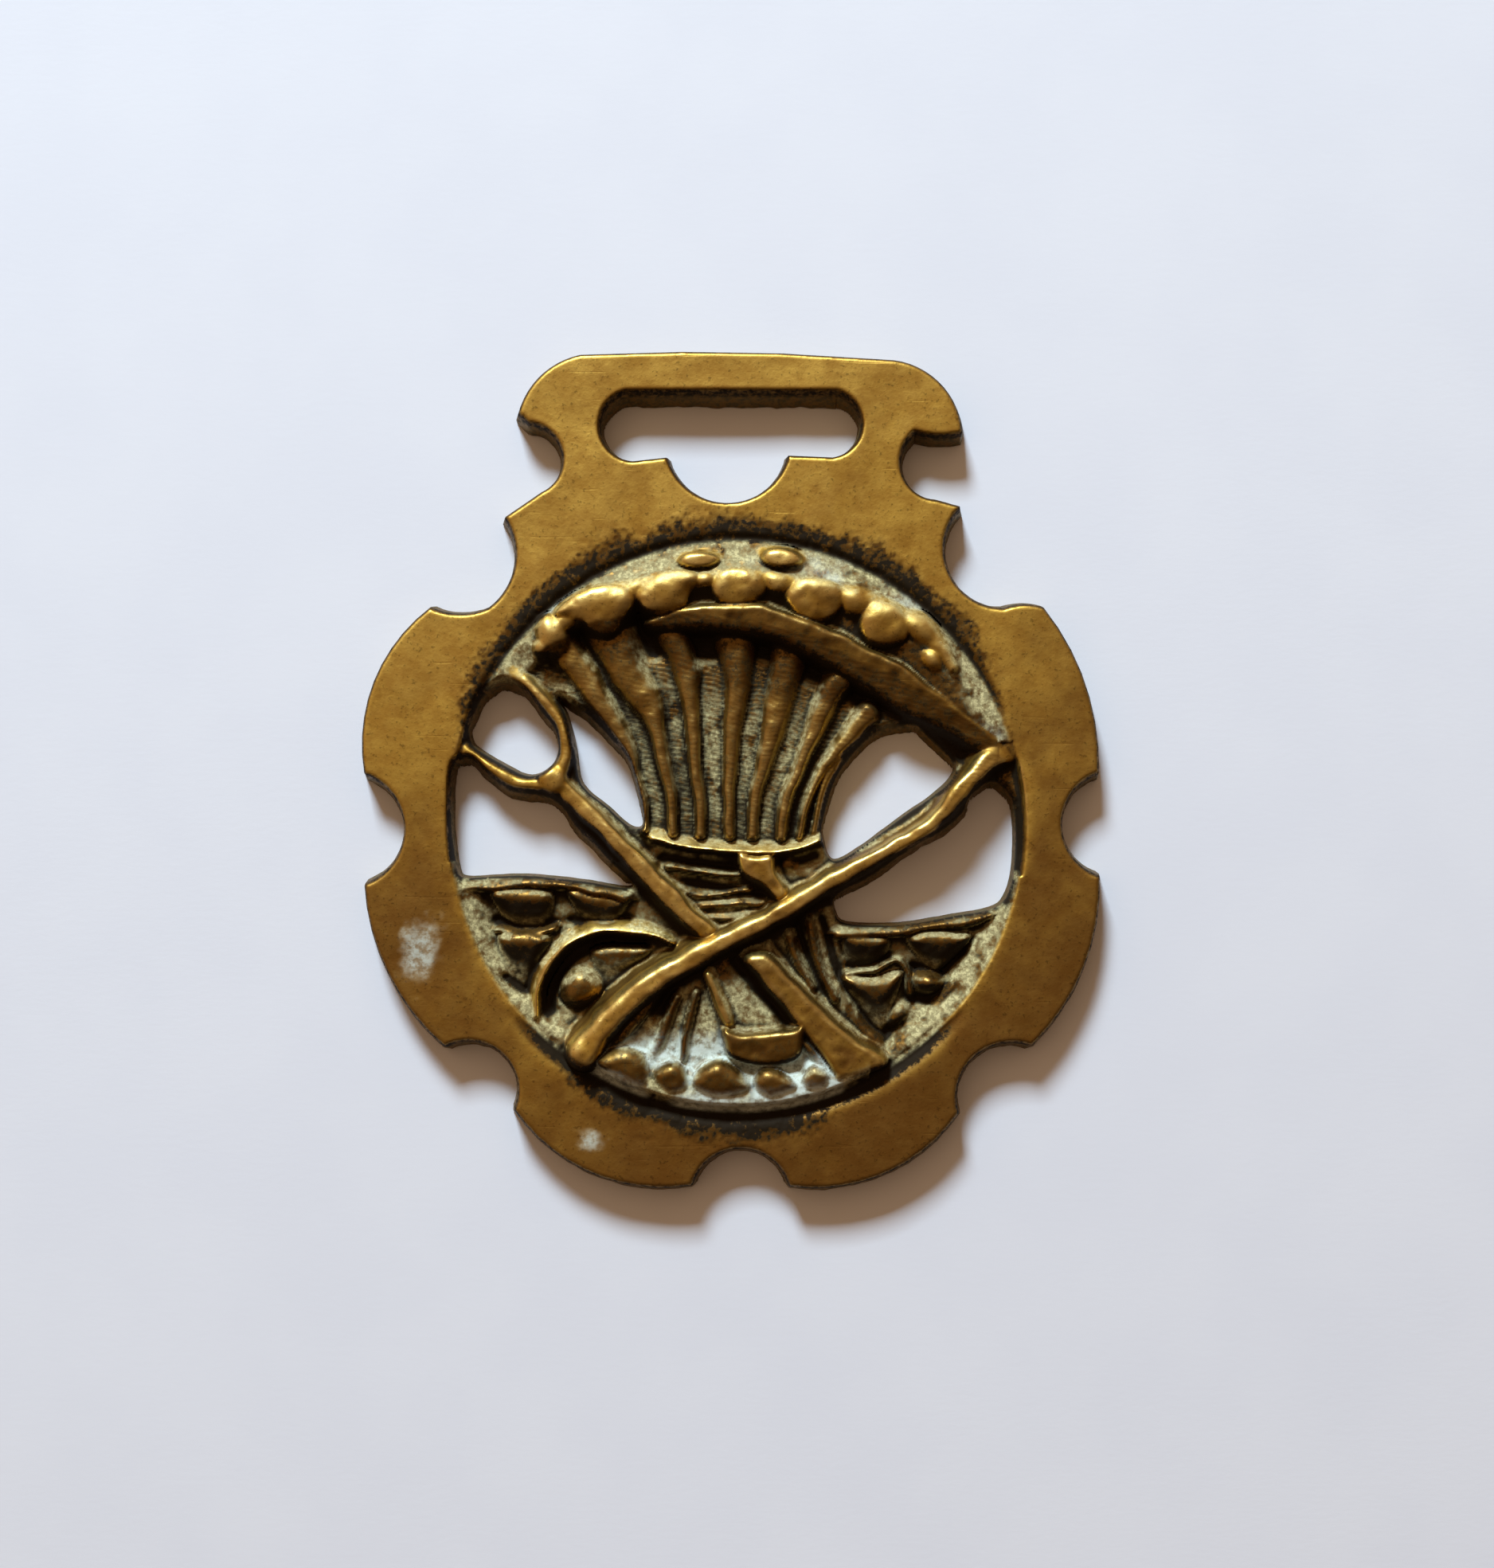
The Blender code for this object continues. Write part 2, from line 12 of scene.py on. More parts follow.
import bpy
import numpy as np
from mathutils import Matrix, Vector


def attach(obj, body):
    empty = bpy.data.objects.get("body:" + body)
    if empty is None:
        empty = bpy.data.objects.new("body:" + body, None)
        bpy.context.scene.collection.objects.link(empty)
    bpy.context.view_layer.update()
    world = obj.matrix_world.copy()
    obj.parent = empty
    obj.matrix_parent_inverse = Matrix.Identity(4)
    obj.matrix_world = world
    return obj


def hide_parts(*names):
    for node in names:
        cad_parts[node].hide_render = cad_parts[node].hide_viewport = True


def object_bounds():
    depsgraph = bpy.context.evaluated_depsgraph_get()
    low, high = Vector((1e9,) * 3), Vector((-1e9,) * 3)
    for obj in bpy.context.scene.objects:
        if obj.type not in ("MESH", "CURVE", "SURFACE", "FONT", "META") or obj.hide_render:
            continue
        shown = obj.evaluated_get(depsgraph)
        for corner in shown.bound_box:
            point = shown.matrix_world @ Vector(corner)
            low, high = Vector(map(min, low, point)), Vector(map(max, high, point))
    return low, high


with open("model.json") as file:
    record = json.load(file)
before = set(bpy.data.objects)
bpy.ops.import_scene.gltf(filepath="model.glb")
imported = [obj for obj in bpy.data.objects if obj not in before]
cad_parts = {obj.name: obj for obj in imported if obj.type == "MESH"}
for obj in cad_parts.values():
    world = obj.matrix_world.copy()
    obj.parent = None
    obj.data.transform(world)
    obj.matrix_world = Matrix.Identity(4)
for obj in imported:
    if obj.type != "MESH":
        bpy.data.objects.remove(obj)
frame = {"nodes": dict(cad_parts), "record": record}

CAD_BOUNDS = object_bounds()
MM = 0.001

# ---- Sizes of the casting ----

CELL = 0.16
PLATE = 3.2  # height of the border
WINDOW_CENTRE = (0.6, -5.8)  # the round picture inside the flat border
WINDOW_RADIUS = 29.2
NECK_LINE = 25.3  # the hanger starts above it
SEAM_LEVEL = 2.3  # where no ground has a share
GROUND_SEAM = 0.22  # how softly one ground passes into the next
FAR_BELOW = -50.0
FAR_AWAY = 1e9

BORDER_DRAFT = 0.42  # how far the back of a wall stands out past its front
OPENING_DRAFT = 0.30
LOW_SIDE_DRAFT = (0.30, 0.85)  # and how much further, of border and openings, facing the foot
EDGE_ROUND = 0.50
EYE = (1.65, -1.45)  # the outlines were drawn as seen from above this point
NEARER = 0.016  # how much wider the front looks from there than the back
LOW_WALL_WEAR = (0.44, 0.12, 0.0, 0.1)  # as a wear map: dark, pale, green and rubbed
WALL_ROWS = ((0.16, 0.86), (0.42, 0.60), (0.72, 0.32), (0.94, 0.12), (1.0, 0.05), (0.80, 0.0))

BORDER_START = (-22.0, 36.8)
BORDER_STRETCHES = (
    ((-20.2, 40.2), (-15.6, 42.9)), ((0.0, 43.2), (15.9, 42.4)), ((21.5, 40.1), (23.9, 34.8)),
    ((21.3, 34.5), (19.0, 34.9)), ((17.5, 31.8), (21.2, 27.9)), ((23.8, 27.2),),
    ((22.2, 21.3), (28.2, 16.7)), ((30.3, 17.1), (32.3, 16.8)), ((36.9, 8.1), (38.0, -0.3)),
    ((34.2, -5.3), (38.1, -11.0)), ((36.0, -21.6), (31.1, -28.5)), ((24.6, -30.2), (23.5, -35.5)),
    ((17.4, -41.0), (6.0, -43.0)), ((1.0, -39.1), (-4.0, -42.9)), ((-14.8, -41.5), (-22.4, -35.1)),
    ((-22.9, -30.2), (-29.6, -28.6)), ((-35.2, -21.6), (-37.9, -11.8)), ((-33.8, -6.4), (-37.9, -0.4)),
    ((-36.9, 9.2), (-31.1, 16.8)), ((-28.2, 16.1), (-25.1, 16.7)), ((-22.4, 20.9), (-23.4, 26.1)),
    ((-19.6, 28.7),), ((-17.4, 31.9), (-20.9, 35.8)), ((-22.0, 36.8),),
)
SLOT_START = (-10.8, 39.1)
SLOT_STRETCHES = (
    ((11.0, 39.1),), ((13.5, 35.9), (10.5, 32.3)), ((5.9, 32.5),), ((-0.2, 27.6), (-6.6, 32.3)),
    ((-10.1, 31.9),), ((-13.6, 35.6), (-10.8, 39.1)),
)

# Openings right through the picture, as points of smooth closed lines
LEFT_OPENING = (
    (-28.7, 0.2), (-28.0, 1.1), (-26.9, 1.1), (-25.3, -0.4), (-22.8, -2.1), (-19.5, -2.6), (-17.7, -3.7),
    (-16.1, -6.0), (-14.2, -7.8), (-12.2, -9.9), (-10.5, -11.6), (-11.0, -12.1), (-14.6, -11.5),
    (-17.9, -11.1), (-21.3, -10.8), (-24.5, -10.9), (-27.6, -11.0), (-28.3, -10.1), (-28.8, -6.8),
    (-28.9, -3.5),
)
SLIVER_OPENING = (
    (-17.9, 7.6), (-16.9, 7.1), (-14.6, 5.5), (-12.6, 3.4), (-10.9, 1.4), (-9.9, -1.5), (-9.3, -4.4),
    (-9.4, -5.8), (-10.7, -5.6), (-12.8, -3.7), (-14.8, -2.1), (-15.7, -0.7), (-16.1, 2.2), (-16.9, 5.5),
)
RIGHT_OPENING = (
    (9.8, -7.6), (9.6, -5.6), (10.7, -1.5), (12.1, 1.0), (14.1, 3.2), (15.9, 4.3), (18.8, 4.8), (20.4, 3.6),
    (22.1, 2.0), (23.2, 0.3), (22.3, -1.3), (20.3, -3.0), (18.2, -4.4), (15.8, -6.2), (13.3, -8.0),
    (11.2, -9.2), (10.3, -9.0),
)
LOWER_OPENING = (
    (12.1, -15.8), (11.0, -14.8), (10.8, -13.4), (11.8, -12.3), (14.1, -11.2), (16.6, -9.5), (19.0, -7.8),
    (21.9, -6.2), (24.1, -4.4), (25.0, -2.5), (27.0, -1.1), (28.3, -1.9), (29.2, -3.5), (29.4, -6.8),
    (29.2, -10.5), (28.4, -13.2), (26.9, -14.3), (23.2, -15.0), (17.4, -15.9),
)
GRIP_EYE = (
    (-23.9, 9.1), (-22.8, 9.0), (-21.3, 8.1), (-19.5, 5.8), (-18.4, 4.3), (-18.1, 2.3), (-18.6, 0.8),
    (-19.8, -0.2), (-21.3, -0.4), (-23.6, 0.7), (-26.1, 2.2), (-26.9, 3.0), (-27.1, 4.3), (-26.6, 5.8),
    (-25.6, 7.8),
)
OPENINGS = (LEFT_OPENING, SLIVER_OPENING, RIGHT_OPENING, LOWER_OPENING, GRIP_EYE)

# Grounds inside the window: node, height, outline
GROUNDS = (
    ("sheaf_crown", 3.9, ((-29, 12), (-20.4, 10.6), (-19.0, 12.7), (-14.2, 15.0), (-9.0, 16.3),
        (-5.5, 16.4), (-1.0, 15.7), (6.8, 14.2), (12.6, 11.7), (18.6, 8.8), (27.0, 4.0), (32, 4), (30, 20),
        (0, 32), (-26, 24))),
    ("sheaf_neck", 2.3, ((-20.4, 10.6), (-19.0, 12.7), (-14.2, 15.0), (-9.0, 16.3), (-5.5, 16.4),
        (-1.0, 15.7), (6.8, 14.2), (12.6, 11.7), (18.6, 8.8), (26.5, 3.4), (22, 2), (15.9, 4.0),
        (11.8, 0.4), (9.8, -4.2), (9.2, -8.3), (9.2, -12.2), (-0.7, -17.8), (-4.6, -14.7), (-9.0, -10.0),
        (-8.9, -5.8), (-9.4, -2.5), (-11.0, 2.2), (-13.9, 5.2), (-20.5, 7.5))),
    ("sheaf_tail", 2.0, ((-0.7, -17.8), (9.2, -12.2), (10.8, -15.2), (11.4, -22.0), (13.4, -27.4),
        (9.0, -25.0), (2.2, -20.4))),
    ("sheaf_butt", 2.7, ((-0.7, -17.8), (2.2, -20.4), (9.0, -26.5), (13.2, -30.4), (10, -37), (-18, -34),
        (-15.0, -29.1), (-11.6, -25.0), (-6.9, -21.2))),
    ("left_bank", 1.5, ((-31, -11), (-24.5, -10.5), (-14.6, -11.2), (-10.5, -11.2), (-4.6, -14.7),
        (-0.7, -17.8), (-6.9, -21.2), (-11.6, -25.0), (-15.0, -29.1), (-18, -34), (-32, -24))),
    ("right_bank", 1.5, ((32, -12), (23.2, -14.6), (14.9, -15.4), (10.8, -15.2), (11.4, -22.0),
        (13.4, -27.4), (16.0, -29.6), (19, -34), (33, -22))),
)


# ---- Plane geometry on arrays ----


def arc(start, via, end, turn_step=math.radians(6)):
    """Points after start, up to end, on the circle through three points."""
    (ax, ay), (bx, by), (cx, cy) = start, via, end
    double_area = 2 * (ax * (by - cy) + bx * (cy - ay) + cx * (ay - by))
    a2, b2, c2 = ax * ax + ay * ay, bx * bx + by * by, cx * cx + cy * cy
    centre_x = (a2 * (by - cy) + b2 * (cy - ay) + c2 * (ay - by)) / double_area
    centre_y = (a2 * (cx - bx) + b2 * (ax - cx) + c2 * (bx - ax)) / double_area
    radius = math.hypot(ax - centre_x, ay - centre_y)
    first = math.atan2(ay - centre_y, ax - centre_x)
    sweep = (math.atan2(cy - centre_y, cx - centre_x) - first) % math.tau
    passed = (math.atan2(by - centre_y, bx - centre_x) - first) % math.tau
    if passed > sweep:
        sweep -= math.tau
    steps = max(3, round(abs(sweep) / turn_step))
    angles = [first + sweep * step / steps for step in range(1, steps + 1)]
    return [(centre_x + radius * math.cos(angle), centre_y + radius * math.sin(angle)) for angle in angles]


def stretches(start, runs):
    """A closed outline from straight runs, given by their end, and arcs, given by a middle and their end."""
    points = [start]
    for run in runs:
        points += [run[0]] if len(run) == 1 else arc(points[-1], *run)
    return np.array(points[:-1])


def smooth(points, closed=False, per_span=5):
    """A Catmull-Rom line through the points, which may carry more than two values each."""
    known = np.array(points, float)
    if closed:
        known = np.vstack([known[-1:], known, known[:2]])
    else:
        known = np.vstack([2 * known[:1] - known[1:2], known, 2 * known[-1:] - known[-2:-1]])
    line = []
    for before, here, after, beyond in zip(known, known[1:], known[2:], known[3:]):
        for step in range(per_span):
            t = step / per_span
            bend = 2 * before - 5 * here + 4 * after - beyond
            swing = 3 * (here - after) + beyond - before
            line.append((2 * here + (after - before) * t + bend * t * t + swing * t**3) / 2)
    if not closed:
        line.append(known[-2])
    return np.array(line)


def to_line(x, y, line, closed=False):
    """Distance to a broken line, place along it in points, and the side, positive on its left."""
    ends = np.vstack([line, line[:1]]) if closed else line
    best = np.full(x.shape, FAR_AWAY)
    place = np.zeros(x.shape)
    side = np.ones(x.shape)
    for index, (a, b) in enumerate(zip(ends[:-1, :2], ends[1:, :2])):
        run = b - a
        length2 = max(run @ run, 1e-12)
        px, py = x - a[0], y - a[1]
        t = np.clip((px * run[0] + py * run[1]) / length2, 0.0, 1.0)
        dx, dy = px - t * run[0], py - t * run[1]
        d2 = dx * dx + dy * dy
        nearer = d2 < best
        best = np.where(nearer, d2, best)
        place = np.where(nearer, index + t, place)
        side = np.where(nearer, np.sign(run[0] * py - run[1] * px + 1e-12), side)
    return np.sqrt(best), place, side


def inside(x, y, outline):
    """Whether points are inside a closed outline, by counting crossings."""
    within = np.zeros(x.shape, bool)
    for (ax, ay), (bx, by) in zip(outline, np.roll(outline, -1, axis=0)):
        if ay == by:
            continue
        crosses = (ay > y) != (by > y)
        within ^= crosses & (x < (bx - ax) * (y - ay) / (by - ay) + ax)
    return within


def depth(x, y, outline):
    """Signed distance to a closed outline, positive inside."""
    outline = np.asarray(outline, float)
    distance, _, _ = to_line(x, y, outline, closed=True)
    return np.where(inside(x, y, outline), distance, -distance)


def near(x, y, points, margin):
    """Whether points are inside the box round some others, widened by a margin."""
    low, high = np.min(points, axis=0), np.max(points, axis=0)
    return (x > low[0] - margin) & (x < high[0] + margin) & (y > low[1] - margin) & (y < high[1] + margin)


def step(low, high, value):
    """Rises smoothly from 0 at low to 1 at high, and falls when low is the greater."""
    t = np.clip((value - low) / (high - low), 0.0, 1.0)
    return t * t * (3 - 2 * t)


def blend_max(a, b, soft):
    """The greater of two heights, with a fillet of about that softness between them."""
    share = np.clip(0.5 + 0.5 * (a - b) / soft, 0.0, 1.0)
    return b * (1 - share) + a * share + soft * share * (1 - share)


def value_noise(x, y, size, seed):
    """Smooth noise from 0 to 1 with features of that size."""
    table = np.random.RandomState(seed).rand(64, 64)
    u, v = x / size + 1000.0, y / size + 1000.0
    i, j = np.floor(u).astype(int), np.floor(v).astype(int)
    fu, fv = u - i, v - j
    fu, fv = fu * fu * (3 - 2 * fu), fv * fv * (3 - 2 * fv)
    a, b = table[i % 64, j % 64], table[(i + 1) % 64, j % 64]
    c, d = table[i % 64, (j + 1) % 64], table[(i + 1) % 64, (j + 1) % 64]
    return (a * (1 - fu) + b * fu) * (1 - fv) + (c * (1 - fu) + d * fu) * fv


def bell(value, middle, width):
    """1 at the middle, falling smoothly to almost 0 at twice the width."""
    return np.exp(-(((value - middle) / width) ** 2))


def rough_noise(x, y, size, seed, octaves=3):
    """Noise from 0 to 1 with finer octaves over the coarse one."""
    total, weight = 0.0, 0.0
    for octave in range(octaves):
        share = 0.55**octave
        moved_x, moved_y = x + 7.3 * octave, y - 3.1 * octave
        total = total + share * value_noise(moved_x, moved_y, size / 2**octave, seed + octave)
        weight += share
    return total / weight


# ---- Elements of the relief: each gives a height over the plan, far below outside its reach ----

WANDER = 0.7  # how far the hand-cut edges of the relief stray, in all


def stroke(points, widths, top, foot, power=2.2, spread=1.0, flank=1.8, shape_soft=0.35):
    """A bar along a smooth line. Its top may change, spread widens its left side, flank is its fall."""
    count = len(points)
    widths = [widths] * count if isinstance(widths, (int, float)) else widths
    tops = [top] * count if isinstance(top, (int, float)) else top
    line = smooth([(*point, width, high) for point, width, high in zip(points, widths, tops)])

    def height(x, y):
        result = np.full(x.shape, FAR_BELOW)
        close = near(x, y, line[:, :2], 4.0)
        px, py = x[close], y[close]
        distance, place, side = to_line(px, py, line)
        whole = np.arange(len(line))
        half = np.interp(place, whole, line[:, 2]) / 2 * np.where(side > 0, spread, 1.0)
        high = np.interp(place, whole, line[:, 3])
        fall = np.where((side > 0) & (spread > 1.01), 1.4, power)
        bar = high - (high - foot) * np.minimum(distance / half, 1.0) ** fall
        result[close] = bar - flank * np.maximum(distance - half, 0.0)
        return result

    return height, shape_soft


def mound(centre, half_length, half_width, turn, top, foot, power=2.0, flank=2.2, shape_soft=0.3):
    """A rounded grain, turned by that many degrees."""
    angle = math.radians(turn)
    cos, sin = math.cos(angle), math.sin(angle)

    def height(x, y):
        result = np.full(x.shape, FAR_BELOW)
        close = near(x, y, [centre], max(half_length, half_width) + 2.5)
        px, py = x[close] - centre[0], y[close] - centre[1]
        along = (px * cos + py * sin) / half_length
        across = (py * cos - px * sin) / half_width
        r = np.sqrt(along**2 + across**2)
        grain = top - (top - foot) * np.minimum(r, 1.0) ** power
        result[close] = grain - flank * np.maximum(r - 1.0, 0.0) * min(half_length, half_width)
        return result

    return height, shape_soft


def slab(outline, top, foot, shoulder, slope=(0.0, 0.0), flank=2.4, shape_soft=0.25):
    """A flat-topped shape with rounded shoulders. Slope tips its top across X and Y."""
    edge = smooth(outline, closed=True, per_span=4)
    middle = edge.mean(axis=0)

    def height(x, y):
        result = np.full(x.shape, FAR_BELOW)
        close = near(x, y, edge, 2.5)
        px, py = x[close], y[close]
        inner = depth(px, py, edge)
        rise = np.sqrt(np.clip(1 - (1 - np.clip(inner / shoulder, 0, 1)) ** 2, 0, 1))
        tipped = top + slope[0] * (px - middle[0]) + slope[1] * (py - middle[1])
        result[close] = foot + (tipped - foot) * rise + flank * np.minimum(inner, 0.0)
        return result

    return height, shape_soft


BLADE = (
    (-9.0, 15.4), (-5.4, 16.8), (-0.7, 17.2), (3.2, 16.9), (6.9, 15.9), (10.2, 14.8), (13.8, 13.1),
    (18.6, 10.3), (24.0, 6.2), (27.8, 3.2), (27.0, 1.3), (21.8, 3.7), (17.6, 5.9), (12.8, 8.9), (7.0, 12.0),
    (1.6, 13.8), (-3.6, 14.3), (-7.6, 14.2),
)
SNATH_LINE = (
    (-15.2, -29.3), (-11.6, -25.0), (-6.9, -21.2), (-0.7, -17.8), (9.2, -12.2), (15.9, -8.5), (21.0, -5.0),
    (23.0, -2.9), (24.5, -0.9), (27.0, 1.2), (28.6, 2.2),
)
SNATH_WIDTHS = (3.9, 3.4, 2.9, 2.7, 2.4, 2.2, 2.3, 2.9, 2.7, 3.2, 2.9)
SNATH_TOPS = (5.0, 4.9, 4.7, 4.6, 4.6, 4.5, 4.6, 4.8, 4.6, 4.0, 3.1)
SHAFT_LINE = ((-17.0, -1.9), (-15.6, -3.3), (-13.0, -6.0), (-8.7, -10.4), (-4.6, -14.7), (-2.5, -16.8))
SHAFT_WIDTHS = (2.3, 2.3, 2.5, 2.7, 2.7, 2.4)
SHAFT_TOPS = (3.5, 3.6, 3.8, 3.9, 3.9, 3.7)
GRIP_LINE = (
    (-23.6, 11.2), (-21.0, 8.8), (-19.2, 7.0), (-17.7, 5.1), (-17.1, 3.0), (-17.2, 1.0), (-18.1, -0.9),
    (-20.2, -1.4), (-22.0, -1.3), (-24.1, -0.5), (-25.9, 0.7), (-28.4, 2.6),
)
GRIP_WIDTHS = (2.8, 2.6, 2.5, 2.5, 2.4, 2.4, 2.8, 2.5, 2.4, 2.4, 2.5, 2.9)
GRIP_TOPS = (3.0, 3.4, 3.4, 3.4, 3.4, 3.4, 3.4, 3.4, 3.4, 3.3, 3.1, 2.8)
SPADE_BLADE = (
    (1.4, -19.9), (5.8, -25.2), (10.2, -30.6), (11.0, -32.0), (13.4, -31.6), (16.2, -29.9), (11.2, -25.8),
    (6.4, -21.4), (3.4, -18.6),
)

# Wheat ears: outlines of the large ones, or centre, half length, half width and turn; then the top
EARS = (
    (((-18.4, 13.9), 1.9, 1.5, 100), 5.0),
    (((-18.2, 16.0), (-16.0, 18.0), (-13.0, 18.9), (-10.7, 18.7), (-9.9, 17.4), (-10.9, 15.6),
        (-12.3, 13.8), (-14.0, 14.0), (-15.9, 15.3)), 5.2),
    (((-9.8, 18.2), (-7.8, 19.9), (-5.4, 20.6), (-3.4, 20.4), (-3.1, 19.2), (-4.1, 18.0), (-4.8, 16.6),
        (-6.6, 16.0), (-8.6, 16.1), (-9.6, 17.2)), 5.2),
    (((-2.6, 19.5), 1.3, 1.1, 10), 5.0),
    (((-2.1, 18.8), (-1.2, 20.3), (0.8, 20.7), (2.9, 20.3), (3.6, 18.9), (2.7, 17.3), (0.6, 16.6),
        (-1.3, 17.3)), 5.2),
    (((4.7, 19.2), 1.9, 1.45, -5), 5.0),
    (((5.6, 18.0), (6.8, 19.7), (8.8, 19.9), (10.9, 19.1), (11.5, 17.4), (10.5, 15.6), (8.4, 15.1),
        (6.5, 16.2)), 5.2),
    (((12.5, 17.2), 2.0, 1.4, -22), 5.0),
    (((13.2, 15.7), (14.6, 17.3), (16.8, 16.9), (18.3, 15.3), (17.9, 13.4), (16.0, 12.6), (14.0, 13.4)),
        5.2),
    (((19.1, 14.6), 2.4, 1.5, -32), 5.0),
    (((20.6, 11.5), 1.4, 1.1, -60), 4.9),
)
EAR_ROPE = (
    (-19.5, 12.4), (-16.6, 15.8), (-10.0, 18.4), (-3.0, 19.5), (4.0, 19.6), (10.5, 18.2), (16.5, 15.8),
    (20.6, 13.4), (22.6, 10.6),
)
BUDS = (((-3.3, 21.5), 2.2, 0.9, 2, 4.95), ((5.2, 21.7), 2.3, 1.05, -6, 5.0))

# Stalks: points and widths from the ears down to the band, and the top
STALKS = (
    (((-17.9, 13.4), (-15.1, 9.7), (-12.5, 5.8), (-10.3, 0.8), (-9.3, -3.0), (-8.9, -6.2)), (3.0, 2.6, 2.2,
        1.3, 1.1, 1.0), 3.6),
    (((-13.0, 15.2), (-11.0, 10.8), (-8.6, 6.9), (-7.3, 2.4), (-6.5, -1.8), (-6.1, -6.4)), (4.2, 3.4, 2.7,
        1.9, 1.6, 1.4), 3.7),
    (((-6.2, 15.9), (-4.8, 10.2), (-4.0, 5.6), (-3.6, 1.2), (-3.2, -6.6)), (3.0, 2.4, 2.0, 1.7, 1.4), 3.5),
    (((0.3, 15.0), (0.6, 9.6), (0.3, 4.4), (0.0, -1.0), (-0.2, -6.8)), (3.2, 2.7, 2.2, 1.8, 1.5), 3.4),
    (((6.4, 13.4), (4.9, 6.6), (3.7, 1.6), (2.7, -2.6), (2.2, -6.9)), (3.2, 2.5, 2.0, 1.6, 1.4), 3.4),
    (((11.2, 9.4), (9.6, 6.4), (7.5, 1.8), (5.9, -2.6), (5.0, -6.9)), (2.4, 2.4, 1.9, 1.6, 1.3), 3.6),
    (((14.2, 6.0), (12.0, 3.4), (9.2, -0.6), (7.7, -3.8), (6.9, -6.8)), (2.0, 1.9, 1.5, 1.2, 1.1), 3.3),
    (((11.0, 1.0), (9.7, -1.9), (8.5, -6.4)), (1.3, 1.2, 1.0), 3.0),
)

# Leaves hang from the lip of a bank: high along the top and sloping down to a shaded tip
LEFT_LEAVES = (
    slab(((-25.2, -12.4), (-21.3, -12.1), (-18.6, -12.6), (-19.0, -15.6), (-21.4, -16.6), (-24.0, -15.2)),
        2.7, 1.2, 1.5, (0.0, 0.40)),
    slab(((-17.2, -12.4), (-13.6, -12.6), (-10.6, -13.3), (-11.4, -15.2), (-13.4, -16.0), (-16.2, -14.8)),
        2.6, 1.2, 1.4, (0.0, 0.40)),
    slab(((-24.6, -17.2), (-21.2, -16.8), (-18.8, -17.4), (-19.8, -20.4), (-21.3, -22.4), (-23.2, -20.6)),
        2.6, 1.2, 1.6, (0.05, 0.34)),
    slab(((-14.6, -18.7), (-11.4, -18.0), (-8.2, -18.7), (-10.6, -20.8), (-13.0, -21.4)), 2.2, 1.2, 1.4,
        (0.0, 0.26)),
)
RIGHT_LEAVES = (
    slab(((11.3, -17.1), (14.6, -16.9), (16.6, -17.5), (15.4, -20.0), (12.6, -20.6)), 2.6, 1.2, 1.4,
        (0.0, 0.40)),
    slab(((18.2, -17.2), (21.4, -16.7), (24.8, -16.9), (23.4, -19.3), (21.4, -20.7), (19.4, -19.4)), 2.8,
        1.2, 1.5, (0.0, 0.40)),
    slab(((11.6, -21.2), (14.7, -21.6), (17.8, -21.0), (17.0, -24.0), (15.6, -27.0), (13.2, -24.4)), 2.7,
        1.1, 1.8, (0.0, 0.30)),
    mound((20.5, -22.0), 1.9, 1.3, 0, 2.9, 1.4),
    mound((17.4, -25.2), 1.0, 1.7, -35, 2.2, 1.3),
)
TENDRIL = (
    (-20.1, -25.4), (-20.0, -23.0), (-19.1, -20.7), (-17.5, -18.6), (-15.1, -17.1), (-12.4, -16.5),
    (-9.2, -16.8), (-6.4, -18.1),
)
BUTT_BLOCK = (
    (-0.9, -26.6), (1.2, -27.0), (3.5, -27.1), (6.2, -26.5), (7.7, -25.9), (7.6, -28.6), (6.6, -30.0),
    (3.3, -30.5), (0.6, -30.0), (-0.7, -28.8),
)
BAND_LINE = ((-8.2, -7.0), (-3.8, -8.0), (0.5, -8.4), (3.3, -8.5), (7.2, -8.0), (9.2, -7.2))
KNOT = (
    (0.6, -8.5), (2.4, -8.7), (4.3, -8.6), (4.7, -10.4), (5.9, -12.6), (5.0, -13.6), (3.4, -12.3),
    (1.2, -10.8),
)

# The cut straw ends along the foot: outline, top, foot, shoulder and tip towards the hanger
BUTT_ENDS = (
    (((-14.0, -29.8), (-11.2, -28.6), (-8.8, -29.4), (-8.4, -32.4), (-10.6, -32.8), (-12.8, -31.5)),
        4.9, 2.9, 1.5, 0.10),
    (((-8.2, -31.2), (-6.6, -29.9), (-4.8, -30.6), (-4.4, -33.0), (-6.8, -33.6)), 4.8, 3.1, 1.3, 0.16),
    (((-4.2, -32.6), (-2.8, -30.4), (-1.0, -29.8), (0.9, -31.0), (2.0, -33.0), (-1.4, -33.9)),
        4.9, 3.1, 1.5, 0.16),
    (((2.2, -32.4), (3.0, -30.9), (4.6, -30.6), (6.6, -31.6), (6.8, -33.0), (4.0, -33.8)),
        4.8, 3.1, 1.3, 0.16),
    (((7.2, -31.7), (8.6, -30.2), (10.4, -31.0), (10.0, -32.6), (7.8, -33.0)), 4.7, 3.1, 1.1, 0.16),
)

